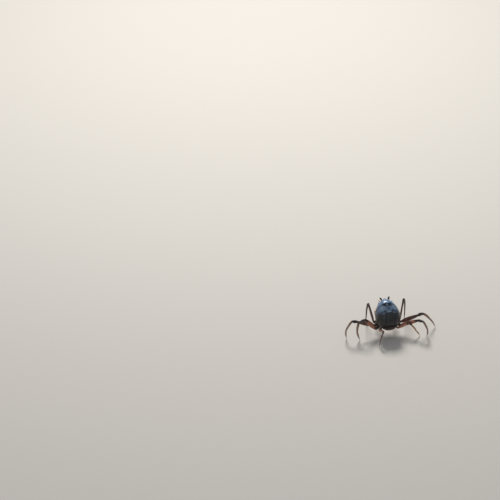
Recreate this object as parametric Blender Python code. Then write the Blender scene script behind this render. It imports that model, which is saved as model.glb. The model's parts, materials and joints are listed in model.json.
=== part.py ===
"""A light-blue soldier crab at life size, standing still on its eight walking legs.

Run it with: blender --background --python part.py

Lengths are in metres. The crab faces -Y, its left side is +X and +Z is up. The origin is on the
ground, under the middle of the whole crab. The body is modelled level in a frame of its own, whose
axes are left, back and crown, and that frame is then tilted so that the front is raised.
"""
import math

import bmesh
import bpy
from mathutils import Matrix, Vector

MM = 0.001
GAP = 0.3 * MM
UP = Vector((0, 0, 1))

# The body: an egg, broad end at the back, with a raised front
SHELL_WIDTH = 20.0 * MM
SHELL_LENGTH = 24.6 * MM
SHELL_DEPTH = 18.0 * MM
EGG_TAPER = 0.21
CROWN_TAPER = 0.13
RIM_DROP = 4.2 * MM
BELLY_INSET = 0.7 * MM
BODY_TILT = math.radians(40)
BODY_LEAN = math.radians(1.6)
BODY_TURN = math.radians(3.2)
BODY_HEIGHT = 18.5 * MM

# The furrows of the shell, as degrees from the front tip or round from the crown, and depths
NECK_FURROW = 55.0
NECK_SWEEP = 20.0
NECK_DEPTH = 0.85 * MM
MID_DEPTH = 0.35 * MM
HEART_DEPTH = 0.40 * MM
GILL_SWELL = 0.45 * MM
HIND_MARGIN = Vector((0, 11.0, 4.1)) * MM
HIND_SLOPE = math.radians(17)

# The face
MOUTH_PLATE_CENTRE = Vector((2.7, -6.3, -4.4)) * MM
MOUTH_PLATE_HALF = Vector((3.9, 5.3, 5.0)) * MM
EYE_ROOT = Vector((2.1, -10.8, 1.2)) * MM
EYE_TIP = Vector((3.9, -13.9, 2.6)) * MM
EYE_HALF = 0.72 * MM
STALK_SHARE = 0.42
FEELER_ROOT = Vector((3.1, -10.2, -0.9)) * MM
FEELER_TIP = Vector((5.0, -13.4, -1.6)) * MM
FEELER_HALF = 0.27 * MM
CHEEK_SPINE_ROOT = Vector((5.0, -8.8, 1.0)) * MM
CHEEK_SPINE_TIP = Vector((5.7, -10.4, 1.1)) * MM

# The tail plates, folded from the hind margin under the belly
TAIL_START = 21.0
TAIL_DROOP = math.radians(14)
TAIL_END = -96.0
TAIL_PLATES = 7
TAIL_THICK = 1.1 * MM
TAIL_HALF_WIDE = 4.9 * MM
TAIL_HALF_NARROW = 3.3 * MM

# Walking legs, first to last: hip socket and hip end in the body's frame, then each segment
LEG_ROOT = {1: (4.6, 1.5, -6.0), 2: (4.9, 3.8, -6.1), 3: (4.5, 6.0, -6.0), 4: (4.5, 8.2, -5.6)}
LEG_HIP = {1: (11.0, 3.2, -6.2), 2: (11.2, 6.1, -6.2), 3: (10.6, 8.9, -6.0), 4: (7.6, 11.0, -5.9)}
LEG_MERUS = {1: 15.2 * MM, 2: 15.3 * MM, 3: 15.0 * MM, 4: 10.8 * MM}
LEG_LOWER = {1: (6.7, 9.8, 9.9), 2: (6.7, 9.9, 10.2), 3: (5.9, 8.7, 8.8), 4: (4.3, 5.9, 6.2)}
LOWER_BENDS = (0.0, 1.0, 1.4)  # how far wrist, shin and foot are turned in from each other
LEG_STOUT = {1: 0.86, 2: 1.0, 3: 0.98, 4: 0.70}

# The stance: how far each thigh swings ahead of straight out and rises, in degrees, its foot's place
# on the ground, out from and behind the point under the body's middle, in millimetres, and how far
# the lower leg's bow is turned to the front, in degrees
STANCE = {
    ("left", 1): (66, 60, 14.0, -16.6, 0),
    ("left", 2): (-5, 22, 33.4, 1.9, 28),
    ("left", 3): (-20, 50, 23.2, 6.3, -5),
    ("left", 4): (-98, 28, 9.6, 17.2, 0),
    ("right", 1): (64, 53, 17.2, -15.2, 0),
    ("right", 2): (-19, 29.5, 40.6, -2.6, -35),
    ("right", 3): (-20, 24, 31.1, 9.0, 35),
    ("right", 4): (-21, 36, 25.6, 8.0, 0),
}

# Claws, in millimetres out from, behind and above the point under the body's middle
CLAW_ROOT = Vector((4.0, -3.2, -6.0)) * MM
CLAW_HIP = Vector((6.6, -6.3, 12.9)) * MM
CLAW_ELBOW = Vector((7.3, -11.6, 12.8)) * MM
CLAW_WRIST = Vector((5.2, -16.9, 12.6)) * MM
CLAW_TIP = Vector((2.8, -16.4, 2.4)) * MM
PALM_SHARE = 0.42

# Colours and roughness
SKY_SHELL = ((0.16, 0.27, 0.42), 0.32)
PALE_BELLY = ((0.62, 0.55, 0.47), 0.45)
CREAM_FACE = ((0.55, 0.53, 0.50), 0.42)
TAIL_BROWN = ((0.20, 0.15, 0.13), 0.45)
EYE_BLACK = ((0.006, 0.006, 0.008), 0.12)
STALK_GREY = ((0.30, 0.33, 0.36), 0.40)
FEELER_TAN = ((0.45, 0.34, 0.24), 0.50)
HIP_MAROON = ((0.13, 0.035, 0.040), 0.38)
THIGH_ORANGE = ((0.45, 0.19, 0.085), 0.40)
SHIN_TAN = ((0.42, 0.27, 0.14), 0.42)
FOOT_OLIVE = ((0.24, 0.18, 0.11), 0.46)
CLAW_TAN = ((0.50, 0.36, 0.24), 0.42)


def empty_scene():
    for thing in list(bpy.data.objects):
        bpy.data.objects.remove(thing, do_unlink=True)


def bell(value, middle, spread):
    """A smooth bump of height 1."""
    return math.exp(-((value - middle) / spread) ** 2)


def step(value, low, high):
    """A smooth step from 0 at low to 1 at high."""
    share = min(max((value - low) / (high - low), 0.0), 1.0)
    return share * share * (3 - 2 * share)


def direction(theta, phi):
    """The unit vector theta degrees from the front, phi degrees round from the crown to the left."""
    t, p = math.radians(theta), math.radians(phi)
    return Vector((math.sin(t) * math.sin(p), -math.cos(t), math.sin(t) * math.cos(p)))


def on_egg(u, offset=0.0):
    """The body's egg in its own frame: the point in direction u, moved outwards by offset."""
    half = Vector((SHELL_WIDTH, SHELL_LENGTH, SHELL_DEPTH)) / 2
    wide = 1 + EGG_TAPER * u.y
    tall = 1 + CROWN_TAPER * u.y if u.z > 0 else 1
    place = Vector((half.x * u.x * wide, half.y * u.y, half.z * u.z * tall))
    outwards = Vector((u.x / half.x, u.y / half.y, u.z / half.z)).normalized()
    return place + offset * outwards


def shell_relief(theta, phi, u):
    """How far the shell's regions rise above the egg, and its furrows sink below it."""
    side = abs(math.sin(math.radians(phi)))
    crown = step(math.cos(math.radians(phi)), -0.55, 0.15)
    neck = -NECK_DEPTH * bell(theta, NECK_FURROW, 4.0) * (0.45 + 0.55 * bell(side, 0, 0.4)) * crown
    across = abs(u.x) * SHELL_WIDTH / 2
    middle = -MID_DEPTH * bell(across, 0, 0.9 * MM) * step(theta, 57, 66) * (1 - step(theta, 84, 100))
    heart = -HEART_DEPTH * bell(across, 2.5 * MM, 0.8 * MM) * step(theta, 88, 98)
    heart *= 1 - step(theta, 138, 150)
    gills = GILL_SWELL * bell(across, 5.4 * MM, 3.2 * MM) * bell(theta, 88, 26)
    cap = 0.35 * MM * bell(theta, 37, 12) * bell(side, 0, 0.8)
    return neck + crown * (middle + heart + gills + cap)


def egg_mesh(name, rings, sides, offset, relief):
    """The egg as a closed mesh of rings from the front tip to the hind one."""
    bm = bmesh.new()
    loops = []
    for i in range(1, rings):
        theta = 180 * i / rings
        loop = []
        for k in range(sides):
            phi = 360 * k / sides
            rear = NECK_SWEEP * math.sin(math.radians(phi)) ** 2 * bell(theta, NECK_FURROW, 28)
            u = direction(theta + rear, phi)
            rise = shell_relief(theta, phi, u) if relief else 0
            loop.append(bm.verts.new(on_egg(u, offset + rise)))
        loops.append(loop)
    tips = [bm.verts.new(on_egg(direction(end, 0), offset)) for end in (0, 180)]
    for first, second in zip(loops, loops[1:]):
        for k in range(sides):
            nxt = (k + 1) % sides
            bm.faces.new((first[k], first[nxt], second[nxt], second[k]))
    for k in range(sides):
        nxt = (k + 1) % sides
        bm.faces.new((loops[0][nxt], loops[0][k], tips[0]))
        bm.faces.new((loops[-1][k], loops[-1][nxt], tips[1]))
    return finish_mesh(name, bm)


def finish_mesh(name, bm):
    """A mesh whose faces point outwards, from a bmesh that is closed."""
    bmesh.ops.recalc_face_normals(bm, faces=bm.faces)
    if bm.calc_volume(signed=True) < 0:
        bmesh.ops.reverse_faces(bm, faces=bm.faces)
    mesh = bpy.data.meshes.new(name)
    bm.to_mesh(mesh)
    bm.free()
    return mesh


def place_object(name, mesh, parent):
    thing = bpy.data.objects.new(name, mesh)
    bpy.context.scene.collection.objects.link(thing)
    thing.parent = parent
    return thing


def trimmed(mesh, point, normal):
    """Cuts away what lies past a plane, on the side its normal points to, and closes the cut."""
    bm = bmesh.new()
    bm.from_mesh(mesh)
    pieces = bm.verts[:] + bm.edges[:] + bm.faces[:]
    bmesh.ops.bisect_plane(bm, geom=pieces, plane_co=point, plane_no=normal, clear_outer=True)
    open_edges = [edge for edge in bm.edges if edge.is_boundary]
    bmesh.ops.holes_fill(bm, edges=open_edges, sides=0)
    bm.to_mesh(mesh)
    bm.free()
    return mesh


def keep_largest(mesh):
    """Drops every loose scrap, and any pocket sealed inside, but the largest closed surface."""
    bm = bmesh.new()
    bm.from_mesh(mesh)
    left = set(bm.faces)
    islands = []
    while left:
        island = set()
        queue = [left.pop()]
        while queue:
            face = queue.pop()
            island.add(face)
            for edge in face.edges:
                for other in edge.link_faces:
                    if other in left:
                        left.discard(other)
                        queue.append(other)
        islands.append(island)
    islands.sort(key=lambda island: sum(face.calc_area() for face in island))
    for island in islands[:-1]:
        bmesh.ops.delete(bm, geom=list(island), context="FACES")
    bm.to_mesh(mesh)
    bm.free()


def combine(target, tools, operation):
    """Joins tools to the target, or cuts it with them, and removes them."""
    group = bpy.data.collections.new("tools")
    for tool in tools:
        group.objects.link(tool)
    change = target.modifiers.new("combine", "BOOLEAN")
    change.operation = operation
    change.solver = "EXACT"
    change.operand_type = "COLLECTION"
    change.collection = group
    bpy.context.view_layer.update()
    evaluated = target.evaluated_get(bpy.context.evaluated_depsgraph_get())
    mesh = bpy.data.meshes.new_from_object(evaluated)
    target.modifiers.clear()
    target.data = mesh
    keep_largest(mesh)
    for tool in tools:
        bpy.data.objects.remove(tool, do_unlink=True)
    bpy.data.collections.remove(group)


def paint(thing, finish):
    """Gives a node its own material."""
    colour, roughness = finish
    material = bpy.data.materials.new(thing.name)
    material.use_nodes = True
    shader = material.node_tree.nodes["Principled BSDF"]
    shader.inputs["Base Color"].default_value = (*colour, 1)
    shader.inputs["Roughness"].default_value = roughness
    shader.inputs["Metallic"].default_value = 0
    thing.data.materials.clear()
    thing.data.materials.append(material)
    thing.data.shade_smooth()
    thing.data.set_sharp_from_angle(angle=math.radians(40))


def section(centre, axis, broad, half_broad, half_thin, sides, plane=None):
    """One cross-section, an ellipse across an axis, slid along the axis onto a plane if one is given."""
    axis = axis.normalized()
    broad = (broad - broad.project(axis)).normalized()
    thin = axis.cross(broad)
    points = []
    for k in range(sides):
        turn = 2 * math.pi * k / sides
        point = centre + broad * (half_broad * math.cos(turn)) + thin * (half_thin * math.sin(turn))
        if plane:
            point += axis * ((plane[0] - point).dot(plane[1]) / axis.dot(plane[1]))
        points.append(point)
    return points


def loft(name, sections):
    """A closed mesh through cross-sections that have the same number of points."""
    bm = bmesh.new()
    loops = [[bm.verts.new(point) for point in points] for points in sections]
    count = len(loops[0])
    for first, second in zip(loops, loops[1:]):
        for k in range(count):
            nxt = (k + 1) % count
            bm.faces.new((first[k], first[nxt], second[nxt], second[k]))
    bm.faces.new(loops[0][::-1])
    bm.faces.new(loops[-1])
    return finish_mesh(name, bm)


def limb(name, start, end, broad, sizes, sides, planes, arch=None):
    """A limb segment from start to end.

    sizes are (share of the length, half breadth, half thickness), planes are the mitred joint
    planes at its two ends, or None, and arch bows its middle sideways.
    """
    axis = (end - start).normalized()
    bow = arch if arch else Vector((0, 0, 0))
    sections = []
    for i, (share, half_broad, half_thin) in enumerate(sizes):
        centre = start.lerp(end, share) + bow * (4 * share * (1 - share))
        slope = axis * (end - start).length + bow * (4 - 8 * share)
        plane = planes[0] if i == 0 else planes[1] if i == len(sizes) - 1 else None
        sections.append(section(centre, slope, broad, half_broad, half_thin, sides, plane))
    return loft(name, sections)


def joint_planes(point, before, after):
    """The two facing planes of a joint, a gap apart, halfway between the directions it joins."""
    normal = (before.normalized() + after.normalized()).normalized()
    return (point - normal * GAP / 2, normal), (point + normal * GAP / 2, normal)


def mirrored(vector, side):
    """A left-hand place or direction, for the left or the right side."""
    return Vector((vector.x if side == "left" else -vector.x, vector.y, vector.z))


def build_carapace(body):
    """The blue shell: the egg above the rim, with its furrows, cheek spines and bent-down front."""
    rim = (Vector((0, 0, -RIM_DROP)), Vector((0, 0, -1)))
    mesh = trimmed(egg_mesh("carapace", 40, 52, 0, True), *rim)
    hind = Vector((0, math.cos(HIND_SLOPE), -math.sin(HIND_SLOPE)))
    trimmed(mesh, HIND_MARGIN, hind)
    carapace = place_object("carapace", mesh, body)
    below = trimmed(belly_mesh("below_margin", 0), *rim)
    extras = [front_lobe(body), place_object("below_margin", below, body)]
    extras += [cheek_spine(body, side) for side in ("left", "right")]
    combine(carapace, extras, "UNION")
    combine(carapace, [mouth_plate_tool(body, side) for side in ("left", "right")], "DIFFERENCE")
    paint(carapace, SKY_SHELL)


def front_lobe(body):
    """The narrow front between the eyes, bent down ahead of the shell."""
    bend = [(-9.4, 2.1, 2.5, 1.2), (-11.2, 1.5, 2.1, 1.1), (-12.5, 0.4, 1.5, 0.9), (-13.0, -0.8, 0.8, 0.5)]
    sections = []
    for y, z, half_wide, half_deep in bend:
        centre = Vector((0, y, z)) * MM
        axis = Vector((0, -1.0, -0.6 if y > -12 else -1.2))
        sections.append(section(centre, axis, Vector((1, 0, 0)), half_wide * MM, half_deep * MM, 10))
    return place_object("front_lobe", loft("front_lobe", sections), body)


def cheek_spine(body, side):
    """The short spine outside and behind the eye."""
    root, tip = mirrored(CHEEK_SPINE_ROOT, side), mirrored(CHEEK_SPINE_TIP, side)
    sizes = [(0, 0.85 * MM, 0.75 * MM), (0.55, 0.55 * MM, 0.45 * MM), (1, 0.15 * MM, 0.15 * MM)]
    mesh = limb("cheek_spine", root, tip, UP, sizes, 6, (None, None))
    return place_object("cheek_spine_" + side, mesh, body)


def mouth_plate_mesh(name, side, swell, rings, sides):
    """One of the two large leaf-shaped plates of the face, swollen by swell on every side."""
    bm = bmesh.new()
    bmesh.ops.create_uvsphere(bm, u_segments=sides, v_segments=rings, radius=1)
    centre = mirrored(MOUTH_PLATE_CENTRE, side)
    lean = Matrix.Rotation(math.radians(-42), 3, "X")
    for vert in bm.verts:
        u = vert.co.normalized()
        suture = -0.22 * MM * bell(u.z, 0.25, 0.12) if swell == 0 else 0
        half = MOUTH_PLATE_HALF + Vector((1, 1, 1)) * (swell + suture)
        leaf = 1 - 0.16 * u.z
        vert.co = centre + lean @ Vector((half.x * u.x * leaf, half.y * u.y, half.z * u.z))
    mesh = finish_mesh(name, bm)
    out = 1 if side == "left" else -1
    inner = GAP / 2 if swell == 0 else -0.5 * MM
    return trimmed(mesh, Vector((out * inner, 0, 0)), Vector((-out, 0, 0)))


def mouth_plate_tool(body, side):
    return place_object("mouth_tool_" + side, mouth_plate_mesh("mouth_tool", side, GAP, 12, 18), body)


def build_mouth_plates(body):
    for side in ("left", "right"):
        mesh = mouth_plate_mesh("maxilliped_" + side, side, 0, 14, 20)
        plate = place_object("maxilliped_" + side, mesh, body)
        paint(plate, CREAM_FACE)


def belly_mesh(name, offset):
    return egg_mesh(name, 24, 30, offset - BELLY_INSET, False)


def build_sternum(body):
    """The underside that the legs grow from, set in a little below the shell's rim."""
    mesh = trimmed(belly_mesh("sternum", 0), Vector((0, 0, -RIM_DROP - GAP)), Vector((0, 0, 1)))
    sternum = place_object("sternum", mesh, body)
    combine(sternum, [mouth_plate_tool(body, side) for side in ("left", "right")], "DIFFERENCE")
    paint(sternum, PALE_BELLY)


def build_abdomen(body):
    """The folded tail: overlapping plates from the hind margin round and under the belly."""
    bm = bmesh.new()
    steps_along, steps_across = 4 * TAIL_PLATES, 8
    outer, inner = [], []
    for i in range(steps_along + 1):
        share = i / steps_along
        beta = math.radians(TAIL_START + (TAIL_END - TAIL_START) * share)
        plate = (share * TAIL_PLATES) % 1 if i < steps_along else 1
        half = TAIL_HALF_WIDE + (TAIL_HALF_NARROW - TAIL_HALF_WIDE) * step(share, 0, 0.3)
        half *= 1 - 0.75 * step(share, 0.84, 1.02)
        lip = 0.28 * MM * plate ** 2
        rows = ([], [])
        for k in range(steps_across + 1):
            across = -1 + 2 * k / steps_across
            sideways = across * half / (SHELL_WIDTH / 2)
            level = math.sqrt(1 - sideways ** 2)
            row = beta - TAIL_DROOP * across ** 2 * (1 - share)
            u = Vector((sideways, math.cos(row) * level, math.sin(row) * level))
            dome = TAIL_THICK * (1 - 0.45 * across ** 4)
            rows[0].append(bm.verts.new(on_egg(u, GAP - BELLY_INSET + dome + lip)))
            rows[1].append(bm.verts.new(on_egg(u, GAP - BELLY_INSET)))
        outer.append(rows[0])
        inner.append(rows[1])
    for i in range(steps_along):
        for k in range(steps_across):
            for sheet in (outer, inner):
                quad = (sheet[i][k], sheet[i][k + 1], sheet[i + 1][k + 1], sheet[i + 1][k])
                bm.faces.new(quad[:3])
                bm.faces.new((quad[0], quad[2], quad[3]))
        for k in (0, steps_across):
            bm.faces.new((outer[i][k], outer[i + 1][k], inner[i + 1][k], inner[i][k]))
    for i in (0, steps_along):
        for k in range(steps_across):
            bm.faces.new((outer[i][k], outer[i][k + 1], inner[i][k + 1], inner[i][k]))
    abdomen = place_object("abdomen", finish_mesh("abdomen", bm), body)
    paint(abdomen, TAIL_BROWN)


def egg_tool(body, offset):
    """A copy of the egg, for seating a stalk or a feeler on the shell."""
    return place_object("egg_tool", egg_mesh("egg_tool", 40, 52, offset, True), body)


def build_eyes(body):
    """Short stalks, each with a long black eye on its end, set in a V."""
    for side in ("left", "right"):
        root, tip = mirrored(EYE_ROOT, side), mirrored(EYE_TIP, side)
        axis = tip - root
        seam = root.lerp(tip, STALK_SHARE)
        planes = joint_planes(seam, axis, axis)
        thick, thin = EYE_HALF, EYE_HALF * 0.72
        sizes = [(0, thick, thick), (0.5, thin, thin), (1, thick * 0.9, thick * 0.9)]
        mesh = limb("eyestalk_" + side, root, seam, UP, sizes, 10, (None, planes[0]))
        stalk = place_object("eyestalk_" + side, mesh, body)
        combine(stalk, [egg_tool(body, GAP), lobe_tool(body)], "DIFFERENCE")
        paint(stalk, STALK_GREY)
        sizes = [(0, thick * 0.9, thick * 0.9), (0.25, thick * 1.12, thick * 1.12),
                 (0.6, thick * 1.06, thick * 1.06), (0.85, thick * 0.72, thick * 0.72),
                 (1, thick * 0.28, thick * 0.28)]
        mesh = limb("eye_" + side, seam, tip, UP, sizes, 12, (planes[1], None))
        paint(place_object("eye_" + side, mesh, body), EYE_BLACK)


def lobe_tool(body):
    """The front lobe, swollen by the gap, which keeps the stalks clear of it."""
    lobe = front_lobe(body)
    for vert in lobe.data.vertices:
        vert.co += vert.normal * GAP
    return lobe


def build_feelers(body):
    """The two short feelers, below the eyes."""
    for side in ("left", "right"):
        root, tip = mirrored(FEELER_ROOT, side), mirrored(FEELER_TIP, side)
        sizes = [(0, 1.9, 1.9), (0.45, 1.5, 1.5), (0.5, 1.0, 1.0), (1, 0.5, 0.5)]
        sizes = [(share, wide * FEELER_HALF, deep * FEELER_HALF) for share, wide, deep in sizes]
        mesh = limb("antenna_" + side, root, tip, UP, sizes, 8, (None, None))
        feeler = place_object("antenna_" + side, mesh, body)
        combine(feeler, [egg_tool(body, GAP), mouth_plate_tool(body, side)], "DIFFERENCE")
        paint(feeler, FEELER_TAN)


def bent_chain(start, end, lengths, arch):
    """The joints of a chain of links from start to end, bent most at the first, bowed towards arch."""
    span = (end - start).length

    def reach(bend):
        x = sum(length * math.cos(share * bend) for share, length in zip(LOWER_BENDS, lengths))
        y = sum(length * math.sin(share * bend) for share, length in zip(LOWER_BENDS, lengths))
        return math.hypot(x, y), math.atan2(y, x)

    low, high = 0.0, math.radians(120)
    for _ in range(50):
        middle = (low + high) / 2
        if reach(middle)[0] > span:
            low = middle
        else:
            high = middle
    chord = (end - start).normalized()
    bow = (arch - arch.project(chord)).normalized()
    heading = reach(low)[1]
    joints = [start]
    for share, length in zip(LOWER_BENDS, lengths):
        turn = heading - share * low
        joints.append(joints[-1] + length * (chord * math.cos(turn) + bow * math.sin(turn)))
    joints[-1] = end
    return joints


def seat_hip(stand, body, name, root, end, broad, halves, plane):
    """A hip from inside the belly to its end plane, cut to meet the belly face to face."""
    sizes = [(0, halves[0], halves[1] * 0.9), (0.55, halves[0] * 1.1, halves[1]),
             (1, halves[0] * 0.8, halves[1] * 0.92)]
    mesh = limb(name, root, end, broad, sizes, 12, (None, plane))
    hip = place_object(name, mesh, stand)
    tool = place_object("belly_tool", belly_mesh("belly_tool", GAP), body)
    combine(hip, [tool], "DIFFERENCE")
    paint(hip, HIP_MAROON)


def build_leg(stand, body, side, number):
    """One walking leg: hip, broad flat thigh, wrist, shin and pointed foot, standing on a small flat."""
    swing, rise, foot_out, foot_back, turn = STANCE[side, number]
    stout = LEG_STOUT[number]
    root = body.matrix_world @ mirrored(Vector(LEG_ROOT[number]) * MM, side)
    hip_end = body.matrix_world @ mirrored(Vector(LEG_HIP[number]) * MM, side)
    level = math.cos(math.radians(rise))
    thigh = Vector((level * math.cos(math.radians(swing)), -level * math.sin(math.radians(swing)),
                    math.sin(math.radians(rise))))
    thigh = mirrored(thigh, side)
    knee = hip_end + thigh * LEG_MERUS[number]
    foot = mirrored(Vector((foot_out, foot_back, 0)) * MM, side)
    outwards = Vector((foot.x - hip_end.x, foot.y - hip_end.y, 0)).normalized()
    links = [length * MM for length in LEG_LOWER[number]]
    turn = math.radians(turn if side == "right" else -turn)
    bow = (Matrix.Rotation(turn, 3, foot - knee) @ (UP + outwards)).normalized()
    joints = bent_chain(knee, foot, links, bow)
    prefix = "leg{}_{}_".format(number, side)
    hip_axis = hip_end - root
    directions = [hip_axis, thigh] + [b - a for a, b in zip(joints, joints[1:])]
    points = [hip_end] + joints[:-1]
    cuts = [joint_planes(point, directions[i], directions[i + 1]) for i, point in enumerate(points)]
    crown = body.matrix_world.to_3x3() @ UP
    seat_hip(stand, body, prefix + "hip", root, hip_end, crown,
             (1.5 * stout * MM, 1.08 * stout * MM), cuts[0][0])
    shapes = {
        "merus": [(0, 1.05, 0.92), (0.10, 1.30, 0.95), (0.32, 1.78, 0.90), (0.62, 1.72, 0.86),
                  (0.88, 1.28, 0.92), (1, 1.06, 0.95)],
        "carpus": [(0, 1.04, 0.94), (0.25, 1.24, 1.02), (0.6, 1.14, 0.98), (1, 0.90, 0.82)],
        "propodus": [(0, 0.88, 0.80), (0.2, 1.02, 0.82), (0.6, 0.94, 0.74), (1, 0.70, 0.62)],
        "dactylus": [(0, 0.68, 0.60), (0.22, 0.74, 0.60), (0.6, 0.56, 0.46), (1, 0.34, 0.30)],
    }
    finishes = {"merus": THIGH_ORANGE, "carpus": HIP_MAROON, "propodus": SHIN_TAN, "dactylus": FOOT_OLIVE}
    ends = [hip_end, *joints]
    ground = (Vector((0, 0, 0)), UP)
    for i, (part, profile) in enumerate(shapes.items()):
        sizes = [(share, wide * stout * MM, deep * stout * MM) for share, wide, deep in profile]
        after = cuts[i + 1][0] if i < 3 else ground
        curve = None if part == "merus" else bow * (0.07 * links[i - 1])
        sides = 10 if part == "merus" else 8
        broad = UP if part == "merus" else bow
        mesh = limb(prefix + part, ends[i], ends[i + 1], broad, sizes, sides, (cuts[i][1], after), curve)
        paint(place_object(prefix + part, mesh, stand), finishes[part])


def hand_sections(wrist, axis, length, broad, plane):
    """The palm, then the fixed finger that carries on along its lower side to a curved point."""
    profile = [(0, 0, 0.95, 0.85), (0.12, 0, 1.35, 1.0), (0.28, 0, 1.62, 1.12), (0.38, -0.05, 1.62, 1.1),
               (PALM_SHARE, -0.92, 0.80, 0.9), (0.55, -1.02, 0.66, 0.72), (0.78, -0.86, 0.52, 0.56),
               (0.92, -0.60, 0.38, 0.42), (1, -0.38, 0.22, 0.26)]
    sections = []
    for i, (share, shift, half_broad, half_thin) in enumerate(profile):
        centre = wrist + axis * (length * share) + broad * (shift * MM)
        cut = plane if i == 0 else None
        sections.append(section(centre, axis, broad, half_broad * MM, half_thin * MM, 12, cut))
    return sections


def build_claw(stand, body, side):
    """One claw: arm, long wrist, slim hand with its fixed finger, and the moving finger."""
    root = body.matrix_world @ mirrored(CLAW_ROOT, side)
    hip, elbow, wrist, tip = (mirrored(v, side) for v in (CLAW_HIP, CLAW_ELBOW, CLAW_WRIST, CLAW_TIP))
    axis = (tip - wrist).normalized()
    length = (tip - wrist).length
    outwards = mirrored(Vector((1, 0, 0)), side)
    elbow_cuts = joint_planes(elbow, elbow - hip, wrist - elbow)
    wrist_cuts = joint_planes(wrist, wrist - elbow, axis)
    sizes = [(0, 1.1, 1.1), (0.3, 1.25, 1.15), (0.62, 1.5, 1.25), (0.85, 1.45, 1.2), (1, 1.15, 1.05)]
    sizes = [(share, wide * MM, deep * MM) for share, wide, deep in sizes]
    name = "claw_{}_".format(side)
    mesh = limb(name + "arm", root, elbow, UP, sizes, 12, (None, elbow_cuts[0]), hip - root.lerp(elbow, 0.5))
    arm = place_object(name + "arm", mesh, stand)
    combine(arm, [place_object("belly_tool", belly_mesh("belly_tool", GAP), body),
                  mouth_plate_tool(body, side)], "DIFFERENCE")
    paint(arm, CLAW_TAN)
    sizes = [(0, 1.0, 0.95), (0.3, 1.25, 1.1), (0.7, 1.3, 1.15), (1, 0.95, 0.9)]
    sizes = [(share, wide * MM, deep * MM) for share, wide, deep in sizes]
    mesh = limb(name + "wrist", elbow, wrist, UP, sizes, 12, (elbow_cuts[1], wrist_cuts[0]),
                (UP + outwards * 0.4) * 0.5 * MM)
    paint(place_object(name + "wrist", mesh, stand), CLAW_TAN)
    broad = mirrored(Vector((0.25, -1, 0)), side)
    broad = (broad - broad.project(axis)).normalized()
    mesh = loft(name + "hand", hand_sections(wrist, axis, length, broad, wrist_cuts[1]))
    paint(place_object(name + "hand", mesh, stand), CLAW_TAN)
    sections = []
    for share, shift, half_broad, half_thin in [(PALM_SHARE + 0.03, 0.98, 0.62, 0.72), (0.6, 1.06, 0.66, 0.64),
                                                (0.8, 0.78, 0.5, 0.5), (0.93, 0.44, 0.34, 0.38),
                                                (1.01, 0.30, 0.2, 0.24)]:
        centre = wrist + axis * (length * share) + broad * (shift * MM)
        sections.append(section(centre, axis, broad, half_broad * MM, half_thin * MM, 10))
    mesh = loft(name + "finger", sections)
    paint(place_object(name + "finger", mesh, stand), CLAW_TAN)


def centre_on_origin(stand):
    """Moves the whole crab so that the middle of its box stands over the origin."""
    bpy.context.view_layer.update()
    corners = []
    for thing in bpy.data.objects:
        if thing.type == "MESH":
            corners += [thing.matrix_world @ vert.co for vert in thing.data.vertices]
    for axis in (0, 1):
        values = [corner[axis] for corner in corners]
        stand.location[axis] = -(min(values) + max(values)) / 2
    bpy.context.view_layer.update()


def main():
    empty_scene()
    stand = bpy.data.objects.new("ground_frame", None)
    body = bpy.data.objects.new("body_frame", None)
    for frame in (stand, body):
        bpy.context.scene.collection.objects.link(frame)
    body.parent = stand
    stance = Matrix.Rotation(BODY_TURN, 4, "Z") @ Matrix.Rotation(BODY_LEAN, 4, "Y")
    stance = stance @ Matrix.Rotation(-BODY_TILT, 4, "X")
    body.matrix_local = Matrix.Translation((0, 0, BODY_HEIGHT)) @ stance
    bpy.context.view_layer.update()
    build_carapace(body)
    build_sternum(body)
    build_abdomen(body)
    build_mouth_plates(body)
    build_eyes(body)
    build_feelers(body)
    for side, number in STANCE:
        build_leg(stand, body, side, number)
    for side in ("left", "right"):
        build_claw(stand, body, side)
    centre_on_origin(stand)


main()
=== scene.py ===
"""The looks of a light-blue soldier crab, laid out as an add-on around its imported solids.

The crab stands at its place over the origin, in metres. The body has a frame of its own, in which
it is level: x to its left, y to its back and z to its crown, in millimetres.
"""
import json
import math
from functools import cached_property

import bmesh
import bpy
import numpy as np
from bpy.props import FloatProperty, FloatVectorProperty, IntProperty, PointerProperty
from mathutils import Matrix, Vector, noise
from mathutils.bvhtree import BVHTree

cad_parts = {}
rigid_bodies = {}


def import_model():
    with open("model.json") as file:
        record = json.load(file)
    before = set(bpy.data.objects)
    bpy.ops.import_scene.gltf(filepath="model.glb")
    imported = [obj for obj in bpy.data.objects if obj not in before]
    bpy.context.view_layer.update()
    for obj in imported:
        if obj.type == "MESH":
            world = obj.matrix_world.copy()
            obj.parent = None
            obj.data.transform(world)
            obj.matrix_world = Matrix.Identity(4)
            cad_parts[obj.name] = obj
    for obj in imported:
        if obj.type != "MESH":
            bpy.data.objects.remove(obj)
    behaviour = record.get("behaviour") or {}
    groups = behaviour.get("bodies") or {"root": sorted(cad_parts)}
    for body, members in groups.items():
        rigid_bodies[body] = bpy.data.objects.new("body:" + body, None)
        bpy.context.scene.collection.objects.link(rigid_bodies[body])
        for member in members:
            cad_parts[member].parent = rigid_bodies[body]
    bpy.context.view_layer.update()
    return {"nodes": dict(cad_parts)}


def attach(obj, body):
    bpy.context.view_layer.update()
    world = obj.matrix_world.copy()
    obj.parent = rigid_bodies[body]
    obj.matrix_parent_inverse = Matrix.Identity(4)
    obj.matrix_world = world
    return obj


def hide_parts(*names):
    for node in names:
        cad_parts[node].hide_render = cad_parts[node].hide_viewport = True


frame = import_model()

bl_info = {
    "name": "Soldier Crab",
    "version": (1, 0, 0),
    "blender": (4, 5, 0),
    "location": "3D View > Sidebar > Crab",
    "description": "Builds a light-blue soldier crab at life size, piece by piece",
    "category": "Add Mesh",
}

MM = 0.001
UP = Vector((0, 0, 1))
SIDES = ("left", "right")
LEGS = (1, 2, 3, 4)
GAP = 0.3

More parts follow.
